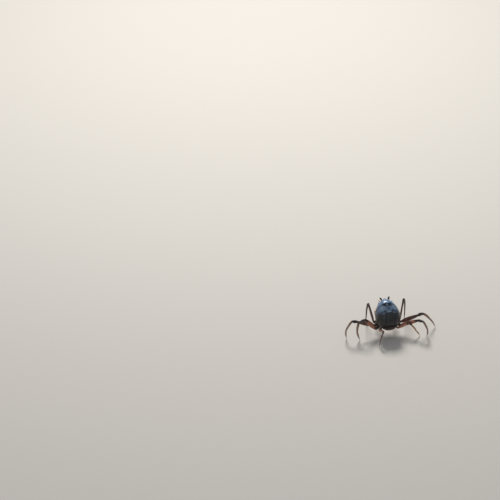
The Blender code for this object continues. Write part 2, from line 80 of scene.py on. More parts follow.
# The body's egg as its solids are made, in millimetres and degrees, and its place, in metres
SHELL_HALF = np.array((10.0, 12.3, 9.0))
EGG_TAPER = 0.21
CROWN_TAPER = 0.13
RIM_DROP = 4.2
BELLY_INSET = 0.7
BODY_TILT = math.radians(40)
BODY_LEAN = math.radians(1.6)
BODY_TURN = math.radians(3.2)
BODY_PLACE = Vector((2.803, -0.694, 18.5)) * MM
NECK_FURROW = 55.0
NECK_SWEEP = 20.0
NECK_SPREAD = 28
SWEEP_ROUNDS = 12
HIND_MARGIN = Vector((0, 11.0, 4.1))
HIND_SLOPE = math.radians(17)
HIND_PLANE = np.array((0, math.cos(HIND_SLOPE), -math.sin(HIND_SLOPE)))
MOUTH_PLATE_CENTRE = Vector((2.7, -6.3, -4.4))
MOUTH_PLATE_HALF = np.array((3.9, 5.3, 5.0))
MOUTH_PLATE_LEAN = math.radians(-42)
MOUTH_OVERLAP = 0.5
TAIL_START, TAIL_END, TAIL_DROOP = 21.0, -96.0, 14.0
TAIL_PLATES = 7
TAIL_PLATE_ROWS = 16
TAIL_COLUMNS = 45
TAIL_THICK = 1.1
TAIL_HALF_WIDE, TAIL_HALF_NARROW = 4.9, 3.3
LEG_GROOVES = (0.2, 2.7, 4.9, 7.1)
GROOVE_SLANT = 0.22

# The limbs' segments from the root to the tip, their slots, each leg's or claw's tone, which is its
# place on the colour ramps, and the steps of a segment's table of sizes
LEG_PARTS = ("hip", "merus", "carpus", "propodus", "dactylus")
LEG_SLOTS = ("joint_maroon", "thigh_orange", "joint_maroon", "shin_tan", "foot_olive")
LEG_TONES = {("left", 1): 0.0, ("right", 1): 0.04, ("left", 2): 0.25, ("right", 2): 0.29,
             ("left", 3): 0.5, ("right", 3): 0.54, ("left", 4): 0.75, ("right", 4): 1.0}
CLAW_PARTS = ("arm", "wrist", "hand", "finger")
CLAW_TONE = 0.3
TIPS = ("dactylus", "hand", "finger")
LIMB_STEPS = 101

# Which way a seed shifts the grain over the body and over the limbs, the grain's fade, step and
# octaves, and the steps of a tube's round ends
BODY_GRAIN = (1, 0.7, -1)
LIMB_GRAIN = (7, -3, 1)
GRAIN = (0.9, 2.1, 3)
DOME_STEPS = 5

# How near a face lies to the segment that it meets, and which corners count as one, in millimetres
MEETING_REACH = 0.45
SAME_CORNER = 0.002


def bell(value, middle, spread):
    """A smooth bump of height 1."""
    return np.exp(-((value - middle) / spread) ** 2)


def step(value, low, high):
    """A smooth step from 0 at low to 1 at high."""
    share = np.clip((value - low) / (high - low), 0.0, 1.0)
    return share * share * (3 - 2 * share)


def direction(theta, phi):
    """Unit vectors theta degrees from the front, phi degrees round from the crown to the left."""
    t, p = np.radians(theta), np.radians(phi)
    return np.stack([np.sin(t) * np.sin(p), -np.cos(t), np.sin(t) * np.cos(p)], -1)


def on_egg(u, offset=0.0):
    """The points of the body's egg in directions u, moved outwards by offset."""
    wide = 1 + EGG_TAPER * u[..., 1]
    tall = 1 + CROWN_TAPER * u[..., 1] * (u[..., 2] > 0)
    place = u * SHELL_HALF * np.stack([wide, np.ones_like(wide), tall], -1)
    outwards = u / SHELL_HALF
    outwards /= np.linalg.norm(outwards, axis=-1, keepdims=True)
    return place + np.asarray(offset)[..., None] * outwards


def shell_relief(theta, phi, u, settings):
    """How far the shell's regions rise above the egg, and its furrows sink below it."""
    side = np.abs(np.sin(np.radians(phi)))
    crown = step(np.cos(np.radians(phi)), -0.55, 0.15)
    across = np.abs(u[..., 0]) * SHELL_HALF[0]
    wave = 1.2 * np.sin(across * 1.9)
    neck = -settings.furrow_depth * bell(theta + wave, NECK_FURROW, 3.4) * (0.45 + 0.55 * bell(side, 0, 0.4))
    pits = -0.32 * bell(theta, NECK_FURROW + 4.0, 5.2) * bell(across, 2.2, 1.1)
    middle = -0.35 * bell(across, 0, 0.7) * step(theta, 57, 66) * (1 - step(theta, 84, 100))
    cap_line = -0.16 * bell(across, 0, 0.45) * step(theta, 20, 28) * (1 - step(theta, 40, 48))
    heart = -0.40 * bell(across, 2.5 + 0.5 * np.sin(theta / 9.0), 0.7) * step(theta, 88, 98)
    heart = heart * (1 - step(theta, 138, 150))
    cross = -0.22 * bell(theta, 101 - 2.2 * across, 2.6) * (1 - step(across, 1.6, 2.8))
    rays = -0.14 * bell(theta, 74 + 5.0 * across, 3.2) * step(across, 3.2, 4.4) * (1 - step(across, 7.4, 8.6))
    gills = 0.45 * bell(across, 5.4, 3.2) * bell(theta, 88, 26)
    cap = 0.35 * bell(theta, 37, 12) * bell(side, 0, 0.8)
    return crown * (neck * (1 - 0.6 * pits) + pits + middle + cap_line + heart + cross + rays + gills + cap)


def loose(mesh):
    """A bmesh of a mesh."""
    bm = bmesh.new()
    bm.from_mesh(mesh)
    return bm


def written(bm, mesh):
    """Writes a bmesh to a mesh and gives the mesh."""
    bm.to_mesh(mesh)
    bm.free()
    return mesh


def closed(name, points, faces):
    """A mesh of points and of faces that close it, turned outwards."""
    mesh = bpy.data.meshes.new(name)
    mesh.from_pydata(points.tolist(), [], faces)
    bm = loose(mesh)
    bmesh.ops.recalc_face_normals(bm, faces=bm.faces)
    if bm.calc_volume(signed=True) < 0:
        bmesh.ops.reverse_faces(bm, faces=bm.faces)
    return written(bm, mesh)


def ringed(name, rings, first, last):
    """A closed mesh through an array of rings of points, with a pole at each end."""
    count, sides = rings.shape[:2]
    points = np.concatenate([rings.reshape(-1, 3), [first, last]])
    here = np.arange(sides)
    following = (here + 1) % sides
    faces = []
    for i in range(count - 1):
        a, b = i * sides, (i + 1) * sides
        faces += np.stack([a + here, a + following, b + following, b + here], 1).tolist()
    poles, end = count * sides, (count - 1) * sides
    pairs = list(zip(here.tolist(), following.tolist()))
    faces += [(after, k, poles) for k, after in pairs]
    faces += [(end + k, end + after, poles + 1) for k, after in pairs]
    return closed(name, points, faces)


def trimmed(mesh, point, normal):
    """Cuts away what lies past a plane, on the side its normal points to, and closes the cut."""
    bm = loose(mesh)
    pieces = bm.verts[:] + bm.edges[:] + bm.faces[:]
    bmesh.ops.bisect_plane(bm, geom=pieces, plane_co=point, plane_no=normal, clear_outer=True)
    bmesh.ops.holes_fill(bm, edges=[edge for edge in bm.edges if edge.is_boundary], sides=0)
    return written(bm, mesh)


def evaluated(thing):
    """An object's mesh with its modifiers applied; the object goes."""
    bpy.context.view_layer.update()
    mesh = bpy.data.meshes.new_from_object(thing.evaluated_get(bpy.context.evaluated_depsgraph_get()))
    bpy.data.objects.remove(thing, do_unlink=True)
    return mesh


def linked(name, data):
    """A new object in the scene."""
    thing = bpy.data.objects.new(name, data)
    bpy.context.scene.collection.objects.link(thing)
    return thing


def combined(mesh, tools, operation):
    """Joins tool meshes to a mesh, or cuts it with them, and keeps its largest closed surface."""
    target = linked("target", mesh)
    group = bpy.data.collections.new("tools")
    for tool in tools:
        group.objects.link(bpy.data.objects.new("tool", tool))
    change = target.modifiers.new("combine", "BOOLEAN")
    change.operation = operation
    change.solver = "EXACT"
    change.operand_type = "COLLECTION"
    change.collection = group
    result = evaluated(target)
    for thing in list(group.objects):
        bpy.data.objects.remove(thing, do_unlink=True)
    bpy.data.collections.remove(group)
    return largest(result)


def largest(mesh):
    """Drops every loose scrap of a mesh but its largest surface."""
    bm = loose(mesh)
    left = set(bm.faces)
    islands = []
    while left:
        island, queue = [], [left.pop()]
        while queue:
            face = queue.pop()
            island.append(face)
            for other in (other for edge in face.edges for other in edge.link_faces if other in left):
                left.discard(other)
                queue.append(other)
        islands.append(island)
    islands.sort(key=len)
    for island in islands[:-1]:
        bmesh.ops.delete(bm, geom=island, context="FACES")
    return written(bm, mesh)


def ball_grid(rings, sides):
    """The angles from the first pole and round it of a grid over a ball, without its poles."""
    theta = np.linspace(0, 180, rings + 1)[1:-1, None] * np.ones((1, sides))
    return theta, np.ones((rings - 1, 1)) * np.arange(sides) * 360.0 / sides


def neck_sweep(theta, phi):
    """How far the grid of the egg leans back at the sides, along the neck furrow."""
    return NECK_SWEEP * np.sin(np.radians(phi)) ** 2 * bell(theta, NECK_FURROW, NECK_SPREAD)


def egg(name, rings, sides, relief, inset=0.0):
    """A closed egg, inset from the body's own and raised by relief(theta, phi, u)."""
    theta, phi = ball_grid(rings, sides)
    u = direction(theta + neck_sweep(theta, phi), phi)
    ends = on_egg(direction(np.array((0.0, 180.0)), np.zeros(2)), -inset)
    return ringed(name, on_egg(u, relief(theta, phi, u) - inset), *ends)


def body_turn():
    """How the level body is tilted, leant and turned as the crab stands."""
    lean = Matrix.Rotation(BODY_TURN, 4, "Z") @ Matrix.Rotation(BODY_LEAN, 4, "Y")
    return lean @ Matrix.Rotation(-BODY_TILT, 4, "X")


BODY = Matrix.Translation(BODY_PLACE) @ body_turn() @ Matrix.Scale(MM, 4)


def mirrored(vector, side):
    """A left-hand place or direction, for the left or the right side."""
    return Vector((vector[0] if side == "left" else -vector[0], vector[1], vector[2]))


class Node:
    """A socket of a node tree, whose arithmetic adds Math nodes."""

    def __init__(self, recipe, socket):
        self.recipe = recipe
        self.socket = socket

    def math(self, operation, *others):
        """A Math node that takes this socket first."""
        return self.recipe.add("ShaderNodeMath", {"operation": operation}, [self, *others])

    def __add__(self, other):
        return self.math("ADD", other)

    def __sub__(self, other):
        return self.math("SUBTRACT", other)

    def __mul__(self, other):
        return self.math("MULTIPLY", other)

    def __truediv__(self, other):
        return self.math("DIVIDE", other)

    def __pow__(self, other):
        return self.math("POWER", other)

    def __rsub__(self, other):
        return self.recipe.add("ShaderNodeMath", {"operation": "SUBTRACT"}, [other, self])

    __radd__ = __add__
    __rmul__ = __mul__

    def rising(self, low, high):
        """0 below low, 1 above high, and smooth between."""
        settings = {"interpolation_type": "SMOOTHSTEP"}
        return self.recipe.add("ShaderNodeMapRange", settings, {0: self, 1: low, 2: high, 3: 0.0, 4: 1.0})

    def falling(self, low, high):
        """1 below low, 0 above high, and smooth between."""
        return 1.0 - self.rising(low, high)


class Recipe:
    """A node tree that is built up node by node."""

    def __init__(self, tree):
        self.tree = tree

    def add(self, kind, settings=None, inputs=None, output=0):
        """Adds a node, with its settings first and then its inputs, and gives one of its outputs."""
        node = self.tree.nodes.new(kind)
        for key, value in (settings or {}).items():
            if key == "stops":
                self.set_stops(node.color_ramp, value)
            else:
                setattr(node, key, value)
        pairs = inputs.items() if isinstance(inputs, dict) else enumerate(inputs or [])
        for key, value in pairs:
            socket = node.inputs[key]
            if isinstance(value, Node):
                self.tree.links.new(value.socket, socket)
            else:
                socket.default_value = value
        return Node(self, node.outputs[output])

    def set_stops(self, ramp, stops):
        """Gives a colour ramp its places and colours."""
        while len(ramp.elements) < len(stops):
            ramp.elements.new(0.5)
        for element, (place, colour) in zip(ramp.elements, stops):
            element.position = place
            element.color = (*colour, 1.0)

    def group_input(self, name, kind, value=None):
        """Names an input of the tree and gives its identifier."""
        item = self.tree.interface.new_socket(name=name, in_out="INPUT", socket_type=kind)
        if value is not None:
            item.default_value = value
        return item.identifier


class Finish(Recipe):
    """A procedural material with a Principled shader, whose patterns are in millimetres."""

    def __init__(self, name, roughness=0.4, coat=0.0, coat_roughness=0.12, specular=0.5, level=False):
        self.material = bpy.data.materials.new(name)
        self.material.use_nodes = True
        super().__init__(self.material.node_tree)
        self.shader = self.tree.nodes["Principled BSDF"]
        for socket, value in (("Roughness", roughness), ("Coat Weight", coat),
                              ("Coat Roughness", coat_roughness), ("Specular IOR Level", specular)):
            self.shader.inputs[socket].default_value = value
        self.level = level
        self.painted = None
        self.height = None

    @cached_property
    def at(self):
        """Places in millimetres, in the crab's frame or in the level body's own."""
        origin, turn = (BODY.translation, body_turn().to_euler()) if self.level else ((0, 0, 0), (0, 0, 0))
        inputs = [self.add("ShaderNodeTexCoord", output="Object"), origin, turn, (MM, MM, MM)]
        return self.add("ShaderNodeMapping", {"vector_type": "TEXTURE"}, inputs)

    def parts(self, vector):
        """The three parts of a vector."""
        node = self.add("ShaderNodeSeparateXYZ", None, [vector]).socket.node
        return [Node(self, socket) for socket in node.outputs]

    def noise(self, scale, detail=3.0, rough=0.55, distortion=0.0):
        """Cloudy noise, with about scale lumps a millimetre."""
        inputs = {"Vector": self.at, "Scale": scale, "Detail": detail, "Roughness": rough,
                  "Distortion": distortion}
        return self.add("ShaderNodeTexNoise", None, inputs)

    def cells(self, scale, randomness=1.0):
        """How far the nearest point of a scatter is."""
        inputs = {"Vector": self.at, "Scale": scale, "Randomness": randomness}
        return self.add("ShaderNodeTexVoronoi", {"feature": "F1"}, inputs)

    def marks(self):
        """What a piece's mesh says of itself: along a limb, how far up and outside, and its tone."""
        colour = self.add("ShaderNodeAttribute", {"attribute_name": "marks"})
        node = self.add("ShaderNodeSeparateColor", None, [colour]).socket.node
        return [Node(self, socket) for socket in node.outputs]

    def mix(self, share, first, second):
        """A colour between two colours."""
        settings = {"data_type": "RGBA", "clamp_factor": True}
        first, second = (c if isinstance(c, Node) else (*c, 1.0) for c in (first, second))
        return self.add("ShaderNodeMix", settings, {0: share, 6: first, 7: second}, 2)

    def paint(self, share, colour):
        """Lays a colour over what is painted so far."""
        self.painted = self.mix(share, self.painted, colour)

    def vary(self, socket, value):
        """Feeds a value that changes over the surface to a socket of the shader."""
        self.tree.links.new(value.socket, self.shader.inputs[socket])

    def raised(self, height, distance):
        """Adds a height, in millimetres times the distance, to the surface's bump."""
        height = height * distance
        self.height = height if self.height is None else self.height + height

    def finished(self):
        """Joins the paint and the heights to the shader and gives the material."""
        self.vary("Base Color", self.painted)
        if self.height is not None:
            inputs = {"Strength": 1.0, "Distance": MM, "Height": self.height}
            self.vary("Normal", self.add("ShaderNodeBump", None, inputs))
        return self.material


def ring_offsets(tangents, broad, wide, deep, sides, lens):
    """From a tube's middle line to its rings, with crisper edges along its breadth as lens rises."""
    broad = broad - (tangents @ broad)[:, None] * tangents
    broad /= np.linalg.norm(broad, axis=1, keepdims=True)
    thin = np.cross(tangents, broad)
    turn = np.arange(sides) * 2 * np.pi / sides
    through = np.sin(turn) * np.abs(np.sin(turn)) ** lens
    offsets = broad[:, None] * (wide[:, None] * np.cos(turn))[..., None]
    return offsets + thin[:, None] * (deep[:, None] * through)[..., None], turn


def read_off(places, known, rows):
    """Rows at some places, between rows that are known at others."""
    return np.stack([np.interp(places, known, column) for column in rows.T], 1)


def along(rows, count):
    """Evenly spaced rows that pass smoothly through a few given ones."""
    rows = np.array(rows, float)
    last = len(rows) - 1
    table = eased(read_off(np.linspace(0, last, 12 * len(rows)), np.linspace(0, last, len(rows)), rows), 5)
    return read_off(np.linspace(0, 1, count), np.linspace(0, 1, len(table)), table)


def eased(values, spread):
    """Evens out the kinks in rows of values, without moving the first and last."""
    pad = min(3 * spread, len(values) - 1)
    before = 2 * values[0] - values[pad:0:-1]
    after = 2 * values[-1] - values[-2:-pad - 2:-1]
    rows = np.concatenate([before, values, after])
    weights = np.exp(-0.5 * (np.arange(-pad, pad + 1) / spread) ** 2)
    weights /= weights.sum()
    return np.stack([np.convolve(column, weights, "valid") for column in rows.T], 1)


def domed(rows, start, end):
    """Adds rows that round off the ends of a tube; a row is a centre and two half sizes."""
    extra = []
    for first, second, dome in ((rows[0], rows[1], start), (rows[-1], rows[-2], end)):
        outwards = first[:3] - second[:3]
        outwards /= np.linalg.norm(outwards)
        turns = [0.5 * math.pi * k / DOME_STEPS for k in range(1, DOME_STEPS)]
        extra.append([np.concatenate([first[:3] + outwards * dome * math.sin(turn),
                                      first[3:] * math.cos(turn)]) for turn in turns])
    return np.array(extra[0][::-1] + list(rows) + extra[1])


def tube(name, rows, broad, sides, start, end):
    """A closed tube with round ends through rows of a centre and two half sizes."""
    rows = domed(np.array(rows, float), start, end)
    tangents = np.gradient(rows[:, :3], axis=0)
    tangents /= np.linalg.norm(tangents, axis=1, keepdims=True)
    offsets, _ = ring_offsets(tangents, np.array(broad, float), rows[:, 3], rows[:, 4], sides, 0.0)
    tips = (rows[0, :3] - tangents[0] * start * 0.05, rows[-1, :3] + tangents[-1] * end * 0.05)
    return ringed(name, rows[:, None, :3] + offsets, *tips)


def roughened(mesh, amount, size, seed=0.0, ways=BODY_GRAIN):
    """Moves a mesh's points along their normals by noise, sizes in the mesh's own unit."""
    shift = Vector([seed * way for way in ways])
    normals = [vert.normal.copy() for vert in mesh.vertices]
    for vert, normal in zip(mesh.vertices, normals):
        vert.co += normal * (amount * noise.fractal(vert.co / size + shift, *GRAIN))


def shaded(mesh, angle):
    """Shades a mesh smoothly, apart from edges sharper than an angle."""
    mesh.shade_smooth()
    mesh.set_sharp_from_angle(angle=math.radians(angle))
    return mesh


def placed(mesh, smooth=38):
    """Moves a mesh from the level body's frame, in millimetres, to its place, and shades it."""
    mesh.transform(BODY)
    return shaded(mesh, smooth)


def piece(name, mesh, nodes, material):
    """An object of the crab that stands for some of its solids."""
    thing = linked(name, mesh)
    mesh.materials.clear()
    mesh.materials.append(material)
    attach(thing, "root")
    if nodes:
        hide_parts(*nodes)


def set_marks(mesh, values):
    """Writes what each point of a mesh says of itself: three numbers from 0 to 1."""
    marks = mesh.attributes.new("marks", "FLOAT_COLOR", "POINT")
    colours = np.ones((len(mesh.vertices), 4), np.float32)
    colours[:, :3] = values
    marks.data.foreach_set("color", colours.ravel())


def numbers(collection, key, width):
    """A row of numbers of each item of a collection."""
    values = np.zeros(len(collection) * width, np.float32)
    collection.foreach_get(key, values)
    return values.reshape(-1, width).astype(float)


def points_of(mesh):
    """The places of a mesh's points."""
    return numbers(mesh.vertices, "co", 3)


def normals_of(mesh):
    """The normals of a mesh's points."""
    return numbers(mesh.vertices, "normal", 3)


def marks_of(mesh):
    """What set_marks wrote to a mesh."""
    return numbers(mesh.attributes["marks"].data, "color", 4)[:, :3]


def egg_angles(points):
    """The grid angles of points near the egg, undoing the sweep of the grid to the back."""
    u = points / SHELL_HALF
    u /= np.linalg.norm(u, axis=1, keepdims=True)
    u[:, 0] /= 1 + EGG_TAPER * u[:, 1]
    u /= np.linalg.norm(u, axis=1, keepdims=True)
    swept = np.degrees(np.arccos(np.clip(-u[:, 1], -1, 1)))
    phi = np.degrees(np.arctan2(u[:, 0], u[:, 2]))
    theta = swept
    for _ in range(SWEEP_ROUNDS):
        theta = swept - neck_sweep(theta, phi)
    return theta, phi, swept, u


def front_lobe():
    """The narrow front between the eyes, bent down."""
    bend = [(0, -9.2, 2.2, 2.5, 1.2), (0, -10.3, 1.9, 2.3, 1.2), (0, -11.3, 1.4, 2.0, 1.1),
            (0, -12.2, 0.7, 1.6, 1.0), (0, -12.7, -0.1, 1.2, 0.8), (0, -12.95, -0.9, 0.75, 0.5)]
    return tube("front_lobe", along(bend, 30), (1, 0, 0), 36, 0.4, 0.3)


def cheek_spine(side):
    """The short spine outside and behind the eye."""
    root, tip = mirrored((5.0, -8.8, 1.0), side), mirrored((5.8, -10.6, 1.15), side)
    shares = np.linspace(0, 1, 10)
    half = 0.85 * (1 - shares) ** 0.8 + 0.06
    rows = np.column_stack([[root.lerp(tip, share) for share in shares], half, half * 0.85])
    return tube("cheek_spine", rows, (0, 0, 1), 14, 0.3, 0.06)


def mouth_plate(side, swell, rings, sides):
    """One of the two large leaf-shaped plates of the face, in millimetres; a swollen one has no seams."""
    t, p = np.radians(ball_grid(rings, sides))
    u = np.stack([np.sin(t) * np.cos(p), np.sin(t) * np.sin(p), np.cos(t)], -1)
    out = 1 if side == "left" else -1
    relief = np.zeros_like(t)
    if not swell:
        seam = 0.25 + 0.16 * u[..., 0] * out
        relief = -0.24 * bell(u[..., 2], seam, 0.045) + 0.06 * bell(u[..., 2], seam - 0.09, 0.05)
        relief = relief - 0.16 * bell(u[..., 0] * out, -0.42, 0.06) * (1 - step(u[..., 2], 0.1, 0.22))
        relief = relief + 0.08 * bell(u[..., 0] * out, 0.72, 0.10)
    half = MOUTH_PLATE_HALF + (relief + swell)[..., None]
    leaf = np.stack([1 - 0.16 * u[..., 2], np.ones_like(t), np.ones_like(t)], -1)
    lean = np.array(Matrix.Rotation(MOUTH_PLATE_LEAN, 3, "X"))
    centre = np.array(mirrored(MOUTH_PLATE_CENTRE, side))
    points = centre + (u * half * leaf) @ lean.T
    ends = [centre + lean @ np.array((0, 0, end * (MOUTH_PLATE_HALF[2] + swell))) for end in (1, -1)]
    mesh = ringed("mouth_plate", points, *ends)
    inner = -MOUTH_OVERLAP if swell else GAP / 2
    return trimmed(mesh, Vector((out * inner, 0, 0)), Vector((-out, 0, 0)))


def mouth_hollows():
    """What is cut from the body so that the mouth plates fit with a gap round them."""
    return [mouth_plate(side, GAP, 40, 60) for side in SIDES]


def build_shell(settings):
    """The blue shell, down to its rim and back to its hind margin, with its front and cheek spines."""
    def relief(*place):
        return shell_relief(*place, settings)

    rim = (Vector((0, 0, -RIM_DROP)), Vector((0, 0, -1)))
    mesh = trimmed(egg("shell", settings.rings, settings.sides, relief), *rim)
    mesh = trimmed(mesh, HIND_MARGIN, Vector(HIND_PLANE))
    inner = egg("belly", 60, 80, lambda theta, phi, u: np.zeros_like(theta), BELLY_INSET)
    inner = trimmed(inner, rim[0] + Vector((0, 0, 0.04)), rim[1])
    mesh = combined(mesh, [inner, front_lobe(), cheek_spine("left"), cheek_spine("right")], "UNION")
    mesh = combined(mesh, mouth_hollows(), "DIFFERENCE")
    theta, phi, swept, u = egg_angles(points_of(mesh))
    crest = np.clip(0.25 - relief(theta, phi, u) * 0.8, 0, 1)
    front = 1 - step(swept, 24, 34)
    roughened(mesh, 0.030, 0.8)
    roughened(mesh, 0.050, 2.6, 4.0)
    set_marks(mesh, np.stack([crest, front, np.zeros_like(front)], 1))
    piece("shell", placed(mesh, 46), ["carapace"], shell_finish(settings))


# Patches of the shell: across and behind the middle, half width and length, in millimetres, then the
# strength and the tint; the furrow-tinted patches over the pits and grooves are painted shade
SHELL_PATCHES = (
    (5.1, -2.8, 1.2, 2.1, 0.75, "streak_colour"),
    (0.7, 0.3, 1.9, 0.75, 0.80, "streak_colour"),
    (4.6, 1.5, 1.3, 0.6, 0.60, "streak_colour"),
    (3.1, -0.5, 1.1, 1.0, 0.70, "furrow_colour"),
    (5.9, 0.0, 0.9, 0.9, 0.55, "furrow_colour"),
    # Painted shade: this patch darkens the middle just behind the neck furrow, where the key light's
    # highlight falls.
    (0.0, -3.6, 2.0, 1.7, 0.75, "middle_colour"),
    (3.3, -7.6, 1.1, 1.6, 0.45, "middle_colour"),
    (2.0, -5.9, 2.0, 1.9, 0.97, "furrow_colour"),
)


def shell_finish(settings):
    """Wet sky-blue at the front, mottled blue behind the neck, and dark slate to olive at the back, with
    painted shade darkening the back half and the furrows.
    """
    finish = Finish("shell_blue", 0.3, 0.28, 0.12, 0.36, level=True)
    x, y, z = finish.parts(finish.at)
    furrow = finish.marks()[0].rising(0.34, 0.70)
    cloud, blotch = finish.noise(0.42, 4.0, 0.6, 0.4), finish.noise(0.65, 4.0, 0.62, 0.5)
    fleck, fine = finish.noise(1.6, 4.0, 0.65, 0.8), finish.noise(6.0, 3.0, 0.6)
    back = y + (cloud - 0.5) * 5.0 + (fleck - 0.5) * 2.4
    side = x.math("ABSOLUTE") + (cloud - 0.5) * 3.0
    front = finish.mix(fleck.rising(0.40, 0.66), settings.cap_colour, settings.cap_pale)
    middle = finish.mix(fleck.rising(0.38, 0.60), settings.middle_colour, settings.streak_colour)
    hind = finish.mix(fleck.rising(0.35, 0.7), settings.hind_colour, settings.hind_pale)
    hind = finish.mix(blotch.rising(0.50, 0.66) * 0.6, hind, settings.olive_colour)
    hind = finish.mix(blotch.falling(0.34, 0.46) * 0.6, hind, settings.furrow_colour)
    finish.painted = finish.mix(back.rising(-8.6, -6.2), front, middle)
    # Painted shade, in part: the hind half and the near-black rear end are darker than the shell's own slate,
    # for the back turned away from the key light.
    finish.paint(back.rising(-1.6, 2.4), hind)
    finish.paint(back.rising(3.0, 9.0) * 0.8, settings.rear_colour)
    low = (z + (cloud - 0.5) * 2.4).falling(-3.0, 2.4)
    flank = low * 0.8 + side.rising(7.4, 9.6) * 0.5 * y.rising(-7.0, -2.0)
    finish.paint(flank, settings.flank_colour)
    # Painted shade in the furrows: the deeper the furrow, the darker.
    finish.paint(furrow * 0.85, settings.furrow_colour)
    ragged = finish.noise(0.9, 4.0, 0.65) - 0.5
    deep = furrow
    for across, behind, wide, long, share, tint in SHELL_PATCHES:
        for place in (across, -across) if across else (across,):
            reach = ((x - place) / wide) ** 2.0 + ((y - behind) / long) ** 2.0 + ragged * 2.6
            patch = reach.falling(0.35, 1.3) * share
            if tint == "streak_colour":
                patch = patch * (0.5 + fleck.rising(0.36, 0.56) * 0.6)
            if tint == "furrow_colour":
                deep = deep.math("MAXIMUM", patch)
            finish.paint(patch, getattr(settings, tint))
    spots = finish.cells(1.9).falling(0.10, 0.34) * finish.noise(0.8).rising(0.45, 0.62)
    finish.paint(spots * back.falling(0.0, 6.0) * 0.4, settings.cap_pale)
    finish.paint(fine.rising(0.45, 0.75) * 0.16, (0.02, 0.03, 0.05))
    finish.vary("Roughness", 0.22 + fleck * 0.18 + flank * 0.12 + deep * 0.75)
    finish.vary("Coat Weight", (0.28 - flank * 0.14) * (1.0 - deep * 0.92))
    finish.raised(finish.cells(3.4).falling(0.05, 0.42) * finish.noise(0.5).rising(0.42, 0.6), 0.030)
    finish.raised(finish.noise(9.0, 4.0, 0.65), 0.022)
    finish.raised(finish.cells(5.5).rising(0.0, 0.30), 0.012)
    return finish.finished()


def build_underside(settings):
    """The pale breast plates that the legs grow from, with the seams between them."""
    def seams(theta, phi, u):
        across = np.abs(u[..., 0]) * SHELL_HALF[0]
        relief = sum(-0.22 * bell(u[..., 1] * SHELL_HALF[1], groove + GROOVE_SLANT * across, 0.28)
                     for groove in LEG_GROOVES)
        return relief * (u[..., 2] < 0)

    mesh = trimmed(egg("belly", 130, 150, seams, BELLY_INSET), Vector((0, 0, -RIM_DROP - GAP)), UP)
    mesh = combined(mesh, mouth_hollows(), "DIFFERENCE")
    roughened(mesh, 0.03, 0.9, 2.0)
    piece("underside", placed(mesh), ["sternum"], plate_finish(settings))


def plate_finish(settings):
    """Cream breast plates with a warm shade and fine brown flecks."""
    finish = Finish("belly_pale", 0.4, 0.35, 0.2, level=True)
    fleck = finish.noise(3.2, 4.0, 0.7)
    finish.painted = finish.mix(finish.noise(0.6, 4.0, 0.6).rising(0.35, 0.65), settings.belly_colour,
                                settings.belly_shade)
    finish.paint(fleck.rising(0.52, 0.72) * 0.5, (0.16, 0.10, 0.09))
    finish.vary("Roughness", 0.3 + fleck * 0.25)
    finish.raised(finish.cells(4.0).falling(0.0, 0.4), 0.025)
    finish.raised(finish.noise(10.0, 3.0), 0.02)
    return finish.finished()


def tail_grid():
    """The folded tail's outer and inner sheets, plate by plate from the hind margin, in millimetres."""
    plate = np.repeat(np.arange(TAIL_PLATES), TAIL_PLATE_ROWS)[:, None]
    within = np.tile(np.arange(TAIL_PLATE_ROWS) / (TAIL_PLATE_ROWS - 1), TAIL_PLATES)[:, None]
    share = (plate + 0.985 * within) / TAIL_PLATES
    across = np.linspace(-1, 1, TAIL_COLUMNS)[None, :]
    half = TAIL_HALF_WIDE + (TAIL_HALF_NARROW - TAIL_HALF_WIDE) * step(share, 0, 0.3)
    half = half * (1 - 0.75 * step(share, 0.84, 1.02))
    bow = 0.05 * (1 - across ** 2)
    beta = np.radians(TAIL_START + (TAIL_END - TAIL_START) * (share + bow * np.sin(math.pi * share) * 0.4))
    beta = beta - math.radians(TAIL_DROOP) * across ** 2 * (1 - share)
    sideways = across * half / SHELL_HALF[0]
    level = np.sqrt(1 - sideways ** 2)
    u = np.stack([sideways * np.ones_like(beta), np.cos(beta) * level, np.sin(beta) * level], -1)
    lip = 0.10 + 0.22 * within ** 1.4 - 0.10 * bell(within, 1.0, 0.05) - 0.12 * bell(within, 0.0, 0.10)
    ridge = 0.05 * bell(within, 0.72, 0.05) + 0.04 * bell(np.abs(across), 0.62, 0.07)
    dome = TAIL_THICK * (1 - 0.45 * across ** 4) * (1 - 0.2 * bell(np.abs(across), 1.0, 0.06))
    return on_egg(u, GAP - BELLY_INSET + dome + lip + ridge), on_egg(u, GAP - BELLY_INSET)


def build_tail(settings):
    """The narrow tail of seven plates, folded from the hind margin under the belly."""
    outer, inner = tail_grid()
    rows, columns = outer.shape[:2]
    points = np.concatenate([outer.reshape(-1, 3), inner.reshape(-1, 3)])
    count = rows * columns
    faces = []
    for i in range(rows - 1):
        for a in range(i * columns, (i + 1) * columns - 1):
            quad = (a, a + 1, a + columns + 1, a + columns)
            faces += [quad, tuple(index + count for index in quad[::-1])]
    grid = np.arange(count).reshape(rows, columns)
    border = np.concatenate([grid[0], grid[1:, -1], grid[-1, -2::-1], grid[-2:0:-1, 0]]).tolist()
    for here, following in zip(border, border[1:] + border[:1]):
        faces.append((here, following, following + count, here + count))
    mesh = closed("tail", points, faces)
    roughened(mesh, 0.025, 0.7, 3.0)
    share = np.tile(np.repeat(np.linspace(0, 1, rows), columns), 2)
    within = np.tile(np.repeat(np.tile(np.linspace(0, 1, TAIL_PLATE_ROWS), TAIL_PLATES), columns), 2)
    across = np.tile(np.abs(np.linspace(-1, 1, columns)), 2 * rows)
    set_marks(mesh, np.stack([within, across, share], 1))
    piece("tail", placed(mesh), ["abdomen"], tail_finish(settings))


